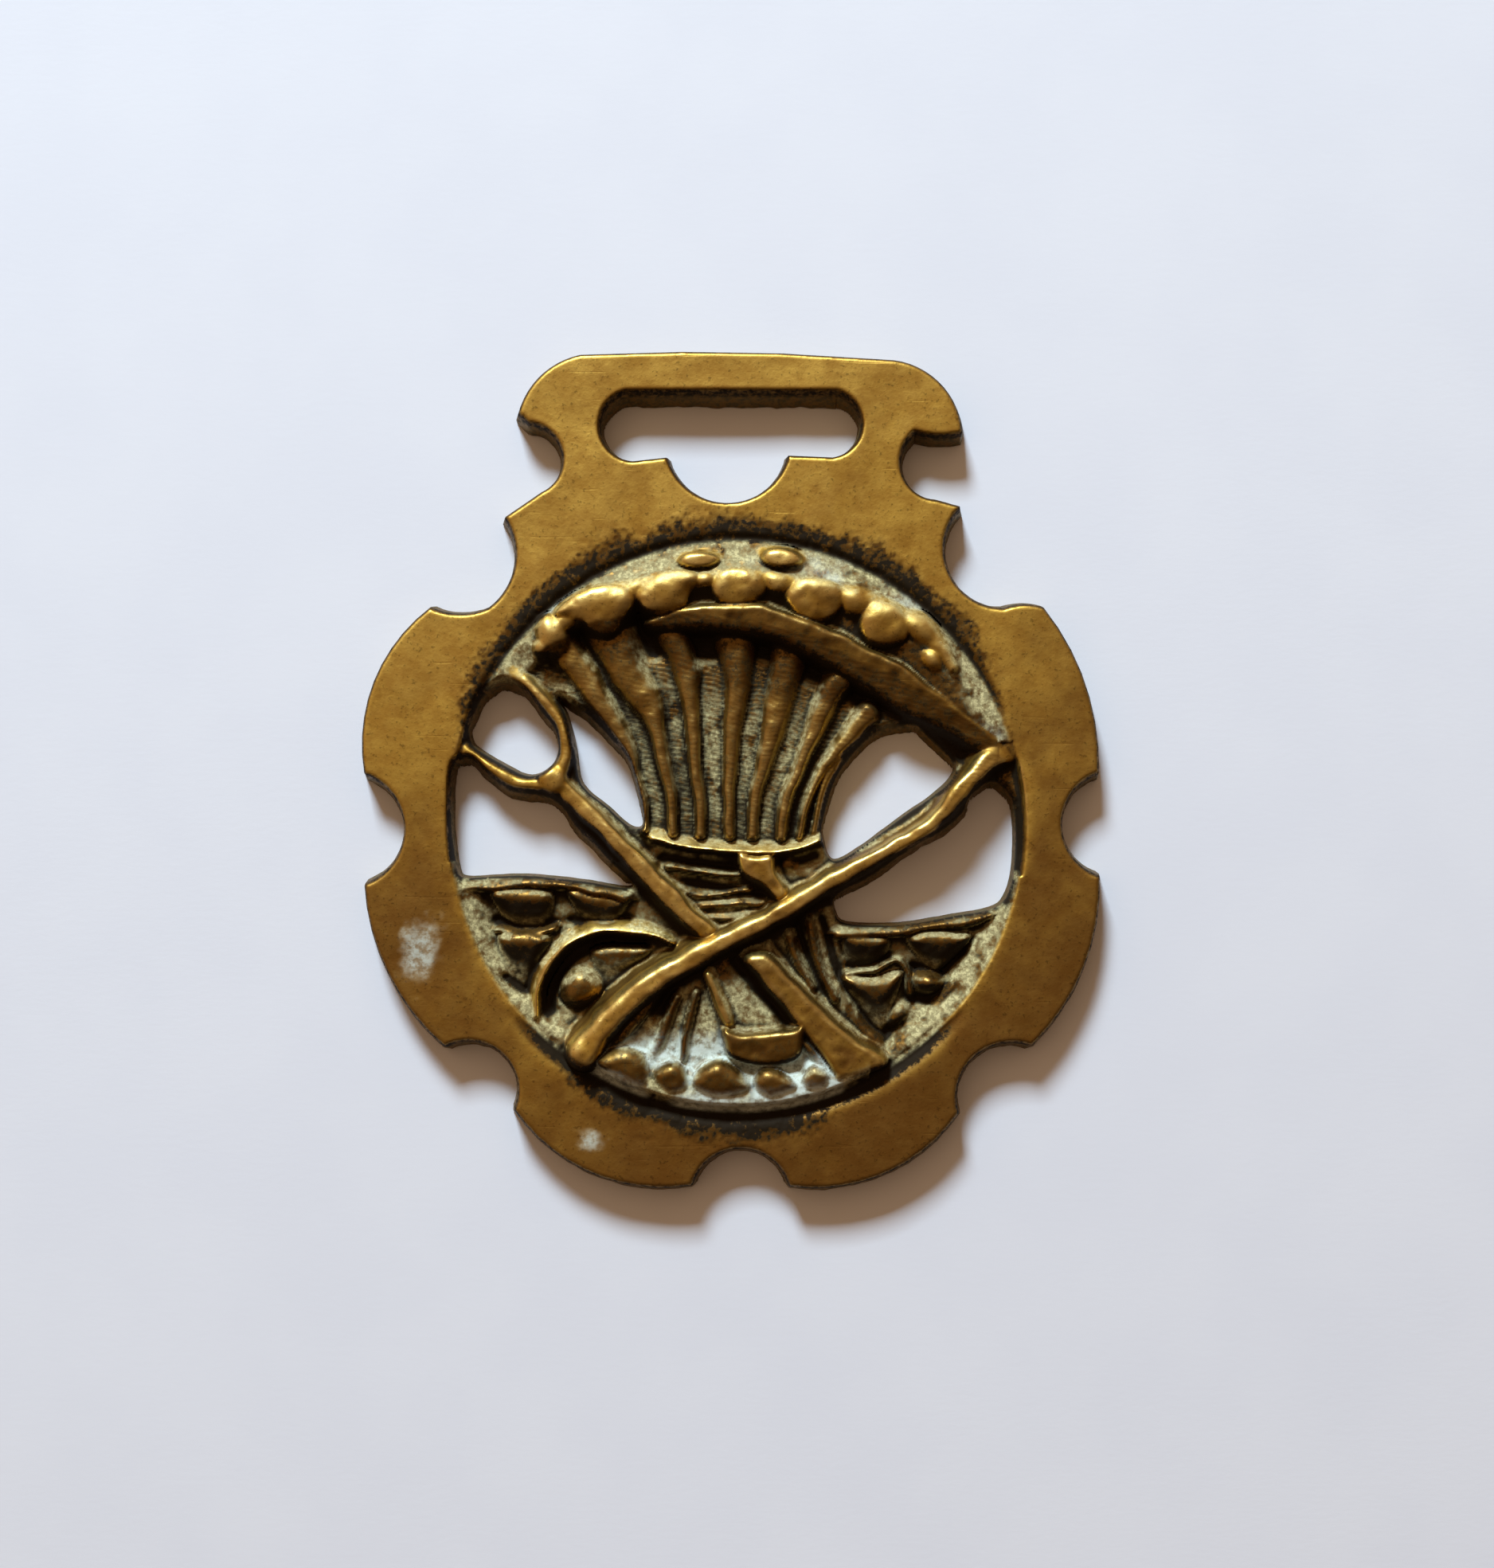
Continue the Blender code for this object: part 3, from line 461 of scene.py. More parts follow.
# Relief of the grounds themselves, each laid on those before it: line, width, top, foot, power and
# spread of a stroke
OWN_RELIEF = [stroke(*row) for row in (
    # Under the ears
    (EAR_ROPE, (1.8, 2.6, 3.2, 3.2, 3.2, 3.2, 3.2, 2.6, 1.6), 4.7, 3.7, 2.4),
    # Lip and edges of the left bank
    (((-28.4, -12.4), (-24.4, -12.1), (-21.3, -11.9), (-18.0, -12.0), (-14.4, -12.5), (-10.8, -13.1)), 1.3,
        2.85, 1.5, 2.0, 2.2),
    (((-26.8, -16.0), (-24.9, -21.0), (-21.6, -25.2), (-18.4, -27.6)), 1.6, 2.1, 1.4, 2.0),
    (((-24.6, -16.6), (-21.6, -17.2), (-18.4, -16.6)), 0.7, 2.3, 1.4, 2.0, 1.8),
    # Lip and edges of the right bank
    (((11.0, -17.0), (14.9, -16.9), (19.0, -16.6), (23.4, -16.0), (27.0, -15.1)), 1.3, 2.75, 1.5, 2.0, 2.2),
    (((25.6, -17.4), (24.0, -21.4), (20.6, -25.4), (17.2, -28.6)), 1.5, 2.1, 1.4, 2.0),
    (((11.2, -22.4), (12.6, -25.2), (15.4, -28.6)), 1.4, 2.2, 1.4, 2.0),
    (((12.2, -21.2), (15.0, -21.0), (16.8, -19.8), (18.0, -20.6), (18.6, -23.0)), 0.9, 2.3, 1.4, 2.0),
    # Stalks below the snath
    (((8.0, -15.4), (9.0, -19.4), (10.8, -23.6)), 1.2, 2.9, 1.8),
    (((5.8, -17.0), (6.7, -19.6), (8.4, -22.6)), 1.2, 2.8, 1.8),
    (((3.6, -18.2), (4.4, -19.6)), 1.0, 2.8, 1.8),
    # Loose straws of the butt
    (((-13.0, -30.0), (-9.8, -26.0), (-7.2, -22.6)), (2.2, 1.6, 1.2), 3.5, 2.4),
    (((-9.0, -31.0), (-7.2, -27.2), (-5.4, -23.4)), (1.8, 1.5, 1.2), 3.4, 2.4),
    (((-5.0, -29.8), (-4.5, -26.8), (-3.6, -23.0)), (1.4, 1.3, 1.1), 3.6, 2.4),
    (((7.4, -27.8), (8.8, -29.4), (10.6, -31.6)), (1.0, 1.6, 1.2), 3.9, 2.4),
    # Ties round the neck
    (((-5.6, -12.3), (-2.2, -13.0), (1.8, -12.4)), 0.7, 2.7, 1.9, 2.0, 1.8),
    (((-3.2, -15.3), (0.4, -15.4), (3.4, -14.4)), 0.7, 2.7, 1.9, 2.0, 1.8),
    (((5.8, -9.6), (7.6, -10.6), (8.8, -11.8)), 1.6, 2.5, 1.9, 2.0),
)]


def ear(shape, top):
    """An ear of wheat: a slab when it has an outline, and otherwise a grain."""
    if len(shape) > 4:
        return slab(shape, top, 4.2, 1.7, (-0.02, 0.10))
    centre, half_length, half_width, turn = shape
    return mound(centre, half_length, half_width, turn, top, 4.1, 2.4)


def flared(widths):
    """Stalk widths, fuller towards the ears."""
    return [width * (1.08 + 0.32 * (1 - step(0, len(widths) - 2, at))) for at, width in enumerate(widths)]


# Node, and its height function and fillet, in the order in which they are laid down
OVERLAYS = (
    [(f"wheat_ear_{i}", ear(shape, top)) for i, (shape, top) in enumerate(EARS, 1)]
    + [(f"flat_bud_{side}", mound(at, a, b, turn, top, 4.0, 5.0)) for side, (at, a, b, turn, top)
       in zip(("left", "right"), BUDS)]
    + [(f"stalk_{i}", stroke(line, flared(widths), top, 1.9, 2.8, 1.0, 2.8))
       for i, (line, widths, top) in enumerate(STALKS, 1)]
    + [
        ("band_lower", stroke(((-6.4, -9.9), (-2.5, -10.7), (0.8, -10.7)), 0.8, 3.0, 2.0, 2.2, 1.8)),
        ("band_fold", stroke(((-2.8, -13.9), (0.3, -14.1), (3.2, -13.5)), 0.8, 2.8, 2.0, 2.2, 1.8)),
        ("band_upper", stroke(BAND_LINE, 0.75, (3.5, 3.8, 3.9, 3.9, 3.8, 3.5), 2.5, 2.2, 2.2)),
        ("band_knot", slab(KNOT, 4.05, 2.6, 0.7, (0.0, 0.10))),
        ("butt_straw", stroke(((-2.2, -21.0), (-1.2, -23.4), (-0.2, -26.0)), (1.4, 1.8, 1.6), 3.8, 2.6)),
        ("butt_block", slab(BUTT_BLOCK, 4.5, 3.0, 0.8, (0.0, 0.16))),
    ]
    + [(f"butt_end_{i}", slab(outline, top, foot, shoulder, (0.0, tip)))
       for i, (outline, top, foot, shoulder, tip) in enumerate(BUTT_ENDS, 1)]
    + [(f"left_leaf_{i}", leaf) for i, leaf in enumerate(LEFT_LEAVES, 1)]
    + [(f"right_leaf_{i}", leaf) for i, leaf in enumerate(RIGHT_LEAVES, 1)]
    + [
        ("berry", mound((-15.5, -22.6), 2.3, 2.3, 0, 3.2, 1.4, 2.4)),
        ("tendril", stroke(TENDRIL, (0.8, 0.9, 0.9, 0.9, 0.9, 0.9, 0.9, 0.7), 3.0, 1.5, 2.0, 2.6)),
    ]
)
TOOLS = [
    ("spade_grip", stroke(GRIP_LINE, GRIP_WIDTHS, GRIP_TOPS, 1.8, 2.6)),
    ("spade_shaft", stroke(SHAFT_LINE, SHAFT_WIDTHS, SHAFT_TOPS, 2.2, 4.0)),
    ("spade_grip", mound((-18.3, -0.9), 1.9, 2.2, 25, 3.9, 2.2, 3.0)),
    ("spade_blade", slab(SPADE_BLADE, 4.55, 2.8, 0.9, (0.0, 0.0))),
    ("scythe_blade", slab(BLADE, 4.5, 2.9, 0.9, (0.06, 0.22), 2.8)),
    ("scythe_snath", stroke(SNATH_LINE, SNATH_WIDTHS, SNATH_TOPS, 2.7, 4.0)),
]
GROUND_UNDER = {
    "wheat_ear": ("sheaf_crown", 3.1), "flat_bud": ("sheaf_crown", 3.1), "stalk": ("sheaf_neck", 1.4),
    "band": ("sheaf_neck", 1.4), "butt": ("sheaf_butt", 1.8), "left_leaf": ("left_bank", 0.9),
    "right_leaf": ("right_bank", 0.9), "berry": ("left_bank", 0.9), "tendril": ("left_bank", 0.9),
}
# Crevices between the elements: a line, its width and its depth
HOLLOWS = (
    (((-19.0, -24.8), (-18.7, -22.3), (-17.2, -19.9), (-14.8, -18.3), (-12.2, -17.7), (-9.0, -17.9)), 1.7,
        0.8),
    (((-16.8, 14.9), (-15.6, 12.6)), 1.3, 0.7),
    (((-9.9, 17.8), (-9.0, 14.8), (-8.0, 12.4)), 1.5, 0.9),
    (((-7.0, -9.0), (-3.4, -9.7), (0.4, -10.0)), 1.0, 0.6),
    (((-4.4, -11.6), (-0.8, -12.2), (3.0, -12.8)), 1.2, 0.6),
    (((4.8, -9.5), (6.6, -9.6), (8.6, -9.0)), 1.0, 0.6),
    (((-4.0, 12.6), (3.4, 12.6), (9.4, 10.2), (14.8, 7.0)), 2.2, 0.9),
    (((19.0, 3.9), (23.0, 2.0), (25.6, 1.0)), 1.6, 0.9),
    (((6.4, -15.2), (7.6, -18.2), (9.8, -23.0)), 0.9, 0.7),
    (((9.6, -15.4), (10.6, -19.0), (12.0, -22.4)), 0.9, 0.7),
    (((-8.6, -23.9), (-11.4, -27.4), (-13.4, -30.2)), 1.5, 0.8),
    (((-3.4, -18.8), (-5.8, -21.6), (-7.4, -24.6)), 1.9, 0.9),
    (((0.6, -20.0), (3.2, -23.0), (5.6, -25.8)), 1.3, 0.8),
    (((12.8, -20.4), (14.6, -20.2), (16.2, -19.4)), 1.0, 0.6),
    (((19.0, -20.6), (21.4, -21.2), (24.0, -18.8)), 1.2, 0.8),
    (((18.6, -23.4), (20.8, -23.8), (22.6, -22.6)), 1.2, 0.8),
    (((13.8, -25.6), (15.6, -27.8), (17.2, -25.6)), 1.1, 0.8),
    (((-24.6, -15.6), (-21.6, -17.0), (-18.6, -16.2)), 1.1, 0.7),
    (((-16.8, -15.6), (-13.4, -16.3), (-10.6, -15.4)), 0.9, 0.6),
    (((-23.2, -21.4), (-21.4, -22.8), (-20.2, -20.6)), 1.0, 0.7),
    (((-17.4, -23.4), (-15.4, -24.4), (-13.4, -23.2)), 1.1, 0.8),
    (((-0.6, -30.6), (3.3, -31.0), (7.0, -30.5)), 0.9, 0.6),
)
# How brown each kind of node is all over; the grounds take the value for anything not named
TARNISH = {
    "wheat_ear": 0.14, "flat_bud_left": 0.05, "flat_bud_right": 0.05, "scythe_snath": 0.03,
    "scythe_blade": 0.30, "spade_shaft": 0.12, "spade_grip": 0.08, "spade_blade": 0.22, "band_upper": 0.16,
    "band_knot": 0.10, "stalk": 0.30, "left_leaf": 0.40, "right_leaf": 0.40, "berry": 0.36, "tendril": 0.15,
    "butt_block": 0.32, "butt_straw": 0.20, "butt_end": 0.36, "border_ring": 0.0, "strap_hanger": 0.0,
}
# Verdigris: centre and half width on the butt, then centre and both half widths on the border
FOOT_SPOTS = ((-1.6, -28.4, 1.6), (4.0, -31.2, 4.2), (8.6, -29.6, 1.8), (-3.4, -30.2, 1.8))
BORDER_SPOTS = ((-31.8, -18.2, 2.6, 3.6), (-14.2, -37.6, 1.8, 1.3))
NODES = sorted(frame["nodes"])
NODE_ID = {name: index for index, name in enumerate(NODES)}


def ground_under(name):
    """The ground piece that an overlay stands on and the level of its foot, or None."""
    for start, found in GROUND_UNDER.items():
        if name.startswith(start):
            return found
    return None


# ---- The sculpt ----

BORDER_OUTLINE = stretches(BORDER_START, BORDER_STRETCHES)
SLOT_OUTLINE = stretches(SLOT_START, SLOT_STRETCHES)
OPENING_OUTLINES = [smooth(points, closed=True, per_span=4) for points in OPENINGS]


def metal(x, y):
    """(distance inside the top edge of the nearest wall, whether it is an opening's)."""
    x, y = x + (x - EYE[0]) * NEARER, y + (y - EYE[1]) * NEARER
    border = depth(x, y, BORDER_OUTLINE)
    slot = -depth(x, y, SLOT_OUTLINE)
    outer = np.minimum(border, slot)
    inner = np.full(x.shape, FAR_AWAY)
    for outline in OPENING_OUTLINES:
        close = near(x, y, outline, 4.0)
        inner[close] = np.minimum(inner[close], -depth(x[close], y[close], outline) - OPENING_DRAFT)
    opening = (inner < outer) | (slot < border)
    return np.minimum(outer, inner), opening


def sculpt(x, y):
    """Height, owner node, lift above the ground, share of each ground, radius and depth of crevices."""
    radius = np.hypot(x - WINDOW_CENTRE[0], y - WINDOW_CENTRE[1])
    bend_x = rough_noise(x, y, 3.4, 91, 2) - 0.5
    bend_y = rough_noise(x, y, 3.4, 95, 2) - 0.5
    bend = WANDER * step(WINDOW_RADIUS + 0.5, WINDOW_RADIUS - 2.0, radius)
    x, y = x + (x - EYE[0]) * NEARER + bend * bend_x, y + (y - EYE[1]) * NEARER + bend * bend_y
    shares = {}
    total = np.full(x.shape, 1e-9)
    for name, _, outline in GROUNDS:
        close = near(x, y, np.array(outline, float), 1.0) & (radius < WINDOW_RADIUS + 1.5)
        share = np.zeros(x.shape)
        share[close] = np.exp(np.clip(depth(x[close], y[close], outline) / GROUND_SEAM, -30, 12))
        shares[name] = share
        total += share
    level = np.zeros(x.shape)
    for name, height, _ in GROUNDS:
        shares[name] = shares[name] / total
        level += shares[name] * height
    level += np.clip(1 - sum(shares.values()), 0, 1) * SEAM_LEVEL
    crown, bank = shares["sheaf_crown"], shares["left_bank"] + shares["right_bank"]
    # The butt swells towards its foot and ends in a step; the banks dish up to the border.
    level += shares["sheaf_butt"] * 1.4 * step(23.0, 28.0, radius)
    level -= 1.1 * crown * step(14.0, 10.5, y) * (x < 0)
    level += crown * (0.55 * bell(radius, 25.8, 1.7) - 0.25)
    level += bank * 1.1 * step(26.4, 28.6, radius)
    inner_edge = np.where(shares["sheaf_butt"] > 0.5, 28.3, WINDOW_RADIUS)
    inner_edge = np.where(bank > 0.5, 28.9, inner_edge)
    rise = np.where(crown > 0.5, step(WINDOW_RADIUS + 0.2, 26.4, radius), 1.0)
    within = step(inner_edge + 0.35, inner_edge - 0.35, radius)
    level = np.where(crown > 0.5, PLATE + (level - PLATE) * rise, PLATE + (level - PLATE) * within)
    groove = 0.35 * np.exp(-(((radius - WINDOW_RADIUS - 0.15) / 0.45) ** 2)) * step(4.0, 8.0, y)
    groove += 0.75 * bell(radius, 29.3, 0.75) * step(-24.0, -28.5, y)
    level = level - groove
    outside = radius > WINDOW_RADIUS
    strongest = np.argmax(np.array(list(shares.values())), axis=0)
    owner = np.array([NODE_ID[name] for name in shares])[strongest]
    owner = np.where(outside, NODE_ID["border_ring"], owner)
    owner = np.where(outside & (y > NECK_LINE), NODE_ID["strap_hanger"], owner)
    sunk = np.zeros(x.shape)
    for points, width, deep in HOLLOWS:
        close = near(x, y, points, 2 * width)
        distance, _, _ = to_line(x[close], y[close], smooth(points))
        sunk[close] = np.maximum(sunk[close], deep * bell(distance, 0, 0.6 * width))
    level = level - sunk
    base = level.copy()
    height = level
    for shape, soft in OWN_RELIEF:
        height = blend_max(shape(x, y), height, soft)
    for name, (shape, soft) in [*OVERLAYS, *TOOLS]:
        raised = shape(x, y)
        over = (raised > height + 0.02) & ~outside
        height = blend_max(raised, height, soft)
        ground = ground_under(name)
        if ground is not None:
            over &= owner == NODE_ID[ground[0]]
        owner = np.where(over, NODE_ID[name], owner)
    lift = height - base
    return height, owner, lift, shares, radius, sunk


def detail(x, y, height, lift, shares, radius):
    """Cast roughness, hammer-soft unevenness, knurled stalk ground and the border's pits."""
    uneven = rough_noise(x, y, 5.0, 3, 2) - 0.5
    grain = rough_noise(x, y, 0.55, 11, 3) - 0.5
    low = step(0.5, 0.0, lift)
    in_window = step(WINDOW_RADIUS + 0.3, WINDOW_RADIUS - 0.5, radius)
    rough = in_window * (0.25 + 0.75 * low)
    knurl = np.sin((y + 0.25 * x + 0.8 * rough_noise(x, y, 1.6, 21, 2)) * math.tau / 0.48)
    lumps = rough_noise(x, y, 1.5, 15, 2) - 0.5
    height = height + 0.16 * uneven + 0.16 * rough * grain + 0.25 * in_window * step(0.4, 1.0, lift) * lumps
    height = height + 0.05 * knurl * shares["sheaf_neck"] * (0.35 + 0.65 * low) * (y > -7)
    pits = pit_zone(x, y, radius) * step(0.42, 0.75, rough_noise(x, y, 0.8, 31, 2))
    return height - 0.09 * pits


def pit_zone(x, y, radius):
    """How much of the border is eaten by pits: a ragged band that fades out from the picture."""
    past = radius - WINDOW_RADIUS
    around = np.degrees(np.arctan2(y - WINDOW_CENTRE[1], x - WINDOW_CENTRE[0]))
    above = step(12.0, 50.0, around) * step(172.0, 140.0, around)
    below = step(-60.0, -84.0, around) * step(-142.0, -112.0, around)
    reach = (1.3 + 2.7 * above + 3.0 * below) * (0.55 + 0.9 * rough_noise(x, y, 3.0, 41, 2))
    strength = 0.28 + 0.52 * above + 0.66 * below
    return strength * step(1.25 * reach, 0.0, past) * (past > -0.3)


def blurred(field, weight, size):
    """A Gaussian blur of that size in millimetres, taken over the metal only."""
    rows = np.fft.fftfreq(field.shape[0], CELL)
    columns = np.fft.rfftfreq(field.shape[1], CELL)
    kernel = np.exp(-2 * (math.pi * size) ** 2 * (rows[:, None] ** 2 + columns[None, :] ** 2))

    def soften(values):
        return np.fft.irfft2(np.fft.rfft2(values) * kernel, s=field.shape)

    return soften(field * weight) / np.maximum(soften(weight), 1e-3)


def wear_and_light_maps(x, y, height, solid, lift, shares, radius, owner, wall, sunk):
    """Dark patina and painted shade, pale dried polishing paste and painted light, verdigris, and
    worn brightness with a painted light gradient, each from 0 to 1.
    """
    fine = blurred(height, solid, 0.28) - height
    wide = blurred(height, solid, 0.9) - height
    eased = blurred(height, solid, 0.22)
    rise = np.zeros(x.shape)
    rise[1:-1] = (eased[2:] - eased[:-2]) / (2 * CELL) * solid[1:-1]
    mottle = rough_noise(x, y, 1.1, 51, 3)
    coarse = rough_noise(x, y, 4.5, 61, 2)
    in_window = step(WINDOW_RADIUS + 0.1, WINDOW_RADIUS - 0.4, radius)
    low = step(0.5, 0.1, lift)
    tarnish = np.zeros(x.shape)
    for name in NODES:
        tarnish[owner == NODE_ID[name]] = TARNISH.get(name.rstrip("0123456789_"), 0.45)
    tarnish[(owner == NODE_ID["sheaf_crown"]) & (lift > 0.35)] = 0.16
    tarnish = blurred(tarnish, solid, 0.15)
    # Painted shadow of the scythe blade on the stalks below it
    painted_blade_shadow = shares["sheaf_neck"] * step(3.5, 10.0, y + 0.22 * x)
    dark = np.clip(3.6 * np.clip(fine, 0, 1) + 1.5 * np.clip(wide, 0, 1), 0, 1)
    # Painted light and shade: slopes facing the window are lightened, slopes facing the foot darkened
    sunny = step(0.10, 0.55, -rise) * in_window
    dark = np.clip(dark * (1 - 0.7 * sunny) + 0.8 * step(0.35, 1.3, rise) * in_window, 0, 1)
    dark = np.maximum(dark, np.maximum(in_window * tarnish, 0.42 * painted_blade_shadow))
    # Painted shade on the slopes of the leaves and the blade that face away from the window
    shaded = [NODE_ID[name] for name in NODES if "leaf" in name or name == "scythe_blade"]
    hanging = np.isin(owner, shaded)
    depth_of_shade = 0.55 + 0.25 * (owner != NODE_ID["scythe_blade"])
    dark = np.maximum(dark, hanging * depth_of_shade * step(0.02, 0.42, rise))
    # Painted shade, with dark patina, in the crevices
    dark = np.maximum(dark, 0.9 * step(0.15, 0.6, sunk) * step(1.0, 0.3, lift))
    dark = np.maximum(dark, 0.62 * step(0.42, 0.0, wall))
    likely = pit_zone(x, y, radius)
    speckle = rough_noise(x, y, 0.42, 71, 2) + 0.35 * (rough_noise(x, y, 1.7, 75, 2) - 0.5)
    dark = np.maximum(dark, 0.92 * step(0.10, 1.0, likely * (0.25 + 1.5 * speckle)))
    dark = np.maximum(dark, 0.75 * step(0.15, 1.0, likely))
    foot_shade = bell(radius, 29.4, 0.9) * step(-24.0, -28.5, y)
    dark = np.maximum(dark, foot_shade)

    floor = step(0.24, 0.07, np.maximum(1.3 * fine, 0.45 * wide))
    flank = shares["sheaf_crown"] * step(25.9, 27.0, radius) * low
    # The pale between the stalks stops short of the blade's painted shadow
    stripes = shares["sheaf_neck"] * (y > -7.6) * step(10.5, 3.5, y + 0.22 * x) * low
    bank = shares["left_bank"] + shares["right_bank"]
    banks = bank * step(0.9, 0.3, lift)
    banks *= 0.50 + 0.50 * np.maximum(step(23.5, 26.5, radius), step(1.5, 1.0, wall))
    swell = shares["sheaf_butt"] * step(-20.5, -22.5, y) * step(0.6, 0.2, lift)
    # Painted light: pale on the bank slopes that face the window
    banks = np.maximum(banks, 0.85 * bank * step(0.12, 0.5, -rise) * (lift < 1.4))
    rest = 0.7 * (shares["sheaf_neck"] * (y < -7.6) + shares["sheaf_tail"]) * low
    # Painted light: pale on low slopes that face the window
    painted_lit_slopes = 0.7 * sunny * ~hanging * step(1.5, 0.9, lift) * step(0.06, 0.2, tarnish)
    pale = np.clip(flank + stripes + banks + 0.95 * swell + rest, 0, 1) * in_window * floor
    tools = np.isin(owner, [NODE_ID[name] for name, _ in TOOLS])
    pale = np.maximum(pale, painted_lit_slopes) * np.where(tools, step(1.2, 0.5, lift), 1.0) * step(0.5, 0.2, sunk)
    pale = pale * step(0.20, 0.48, mottle)
    foot = shares["sheaf_butt"] * step(-26.0, -28.5, y) * step(0.9, 0.2, lift) * step(0.25, 0.45, coarse)
    for cx, cy, across in FOOT_SPOTS:
        near_spot = np.exp(-(((x - cx) / across) ** 2) - ((y - cy) / 1.3) ** 2)
        foot = np.maximum(foot, shares["sheaf_butt"] * near_spot * step(1.1, 0.3, lift))
    green = np.clip(foot + 0.5 * flank * step(0.5, 0.75, coarse), 0, 1) * in_window * ~tools
    for cx, cy, across, up in BORDER_SPOTS:
        spot = np.exp(-(((x - cx) / across) ** 2) - ((y - cy) / up) ** 2)
        green = np.maximum(green, 0.75 * step(0.30, 1.0, spot + 0.7 * (mottle - 0.5)))
    # Painted light: brightest towards the hanger, on the window's side, and dullest towards the lower
    # right. A patch on the left is duller, and convex edges are worn brighter.
    rubbed_and_lit = 0.35 + 0.0052 * y - 0.0028 * x + 0.16 * (coarse - 0.5) + 0.10 * (mottle - 0.5)
    rubbed_and_lit = rubbed_and_lit - 0.17 * np.exp(-(((x + 34.0) / 13.0) ** 2) - ((y + 16.0) / 15.0) ** 2)
    rubbed_and_lit = np.clip(rubbed_and_lit, 0.04, 0.5) + np.clip(-1.5 * fine - 0.7 * wide, 0, 0.5)
    return np.stack([dark, pale, green, np.clip(rubbed_and_lit, 0, 1)], axis=-1)


# ---- From the height field to one closed mesh for each node ----


class Casting:
    """The sculpted front, the drafted side walls and the flat back, shared by every piece."""

    def __init__(self):
        low, high = CAD_BOUNDS
        margin = 4 * CELL
        columns = int((high.x - low.x) / MM / CELL) + 9
        rows = int((high.y - low.y) / MM / CELL) + 9
        xs = low.x / MM - margin + CELL * np.arange(columns)
        ys = low.y / MM - margin + CELL * np.arange(rows)
        self.x, self.y = np.meshgrid(xs, ys)
        wall, _ = metal(self.x, self.y)
        centre = (wall[:-1, :-1] + wall[1:, :-1] + wall[:-1, 1:] + wall[1:, 1:]) / 4
        self.solid = centre > 0
        self.snap_to_walls()
        wall, self.opening = metal(self.x, self.y)
        height, owner, lift, shares, radius, sunk = sculpt(self.x, self.y)
        relief = detail(self.x, self.y, height, lift, shares, radius)
        wall = np.maximum(wall, 0.0)
        inside_edge = np.clip(wall / EDGE_ROUND, 0, 1)
        self.height = relief - EDGE_ROUND * 0.85 * (1 - np.sqrt(1 - (1 - inside_edge) ** 2))
        touched = self.cells_at(self.rim)
        self.owner = self.cell_owner(owner, touched)
        corner = np.zeros(self.x.shape)
        corner[:-1, :-1] = self.solid
        self.wear_and_painted_light = wear_and_light_maps(self.x, self.y, relief, corner, lift, shares, radius, owner, wall, sunk)
        self.raise_walls()
        self.shade()

    def cells_at(self, marks):
        """Cells with a marked corner."""
        return marks[:-1, :-1] | marks[1:, :-1] | marks[:-1, 1:] | marks[1:, 1:]

    def cell_owner(self, owner, touched):
        """Each cell's node, from its first corner. An overlay keeps clear of the side walls."""
        cells = owner[:-1, :-1].copy()
        for name in NODES:
            ground = ground_under(name)
            if ground is not None:
                cells[touched & (cells == NODE_ID[name])] = NODE_ID[ground[0]]
        return np.where(self.solid, cells, -1)

    def snap_to_walls(self):
        """Moves the corners between metal and air onto the top edge of the walls."""
        padded = np.pad(self.solid, 1)
        count = padded[:-1, :-1].astype(int) + padded[1:, :-1] + padded[:-1, 1:] + padded[1:, 1:]
        self.rim = (count > 0) & (count < 4)
        px, py = self.x[self.rim], self.y[self.rim]
        probe = 0.02
        for _ in range(3):
            here, _ = metal(px, py)
            gx = (metal(px + probe, py)[0] - metal(px - probe, py)[0]) / (2 * probe)
            gy = (metal(px, py + probe)[0] - metal(px, py - probe)[0]) / (2 * probe)
            scale = np.clip(gx * gx + gy * gy, 0.3, None)
            move = np.clip(here, -0.6 * CELL, 0.6 * CELL)
            px, py = px - move * gx / scale, py - move * gy / scale
        self.x[self.rim], self.y[self.rim] = px, py
        length = np.maximum(np.hypot(gx, gy), 1e-6)
        self.out_x = np.zeros(self.x.shape)
        self.out_y = np.zeros(self.x.shape)
        self.out_x[self.rim], self.out_y[self.rim] = -gx / length, -gy / length

    def raise_walls(self):
        """All vertices: the front, the floor under overlays, the back, and the rows of each wall."""
        count = self.x.size
        flat_x, flat_y, flat_z = self.x.ravel(), self.y.ravel(), self.height.ravel()
        front = np.stack([flat_x, flat_y, flat_z], axis=1)
        back = np.stack([flat_x, flat_y, np.zeros(count)], axis=1)
        wobble = 1 + 0.25 * (rough_noise(flat_x, flat_y, 1.2, 81, 2) - 0.5)
        draft = np.where(self.opening, OPENING_DRAFT, BORDER_DRAFT)
        further = np.where(self.opening, LOW_SIDE_DRAFT[1], LOW_SIDE_DRAFT[0])
        reach = (draft + further * np.maximum(-self.out_y, 0.0)).ravel() * wobble
        rows = []
        for share, level in WALL_ROWS:
            rows.append(np.stack([flat_x + self.out_x.ravel() * reach * share,
                                  flat_y + self.out_y.ravel() * reach * share, flat_z * level], axis=1))
        self.count = count
        self.points = np.vstack([front, back, *rows])
        self.row_of = [(2 + index) * count for index in range(len(WALL_ROWS))]

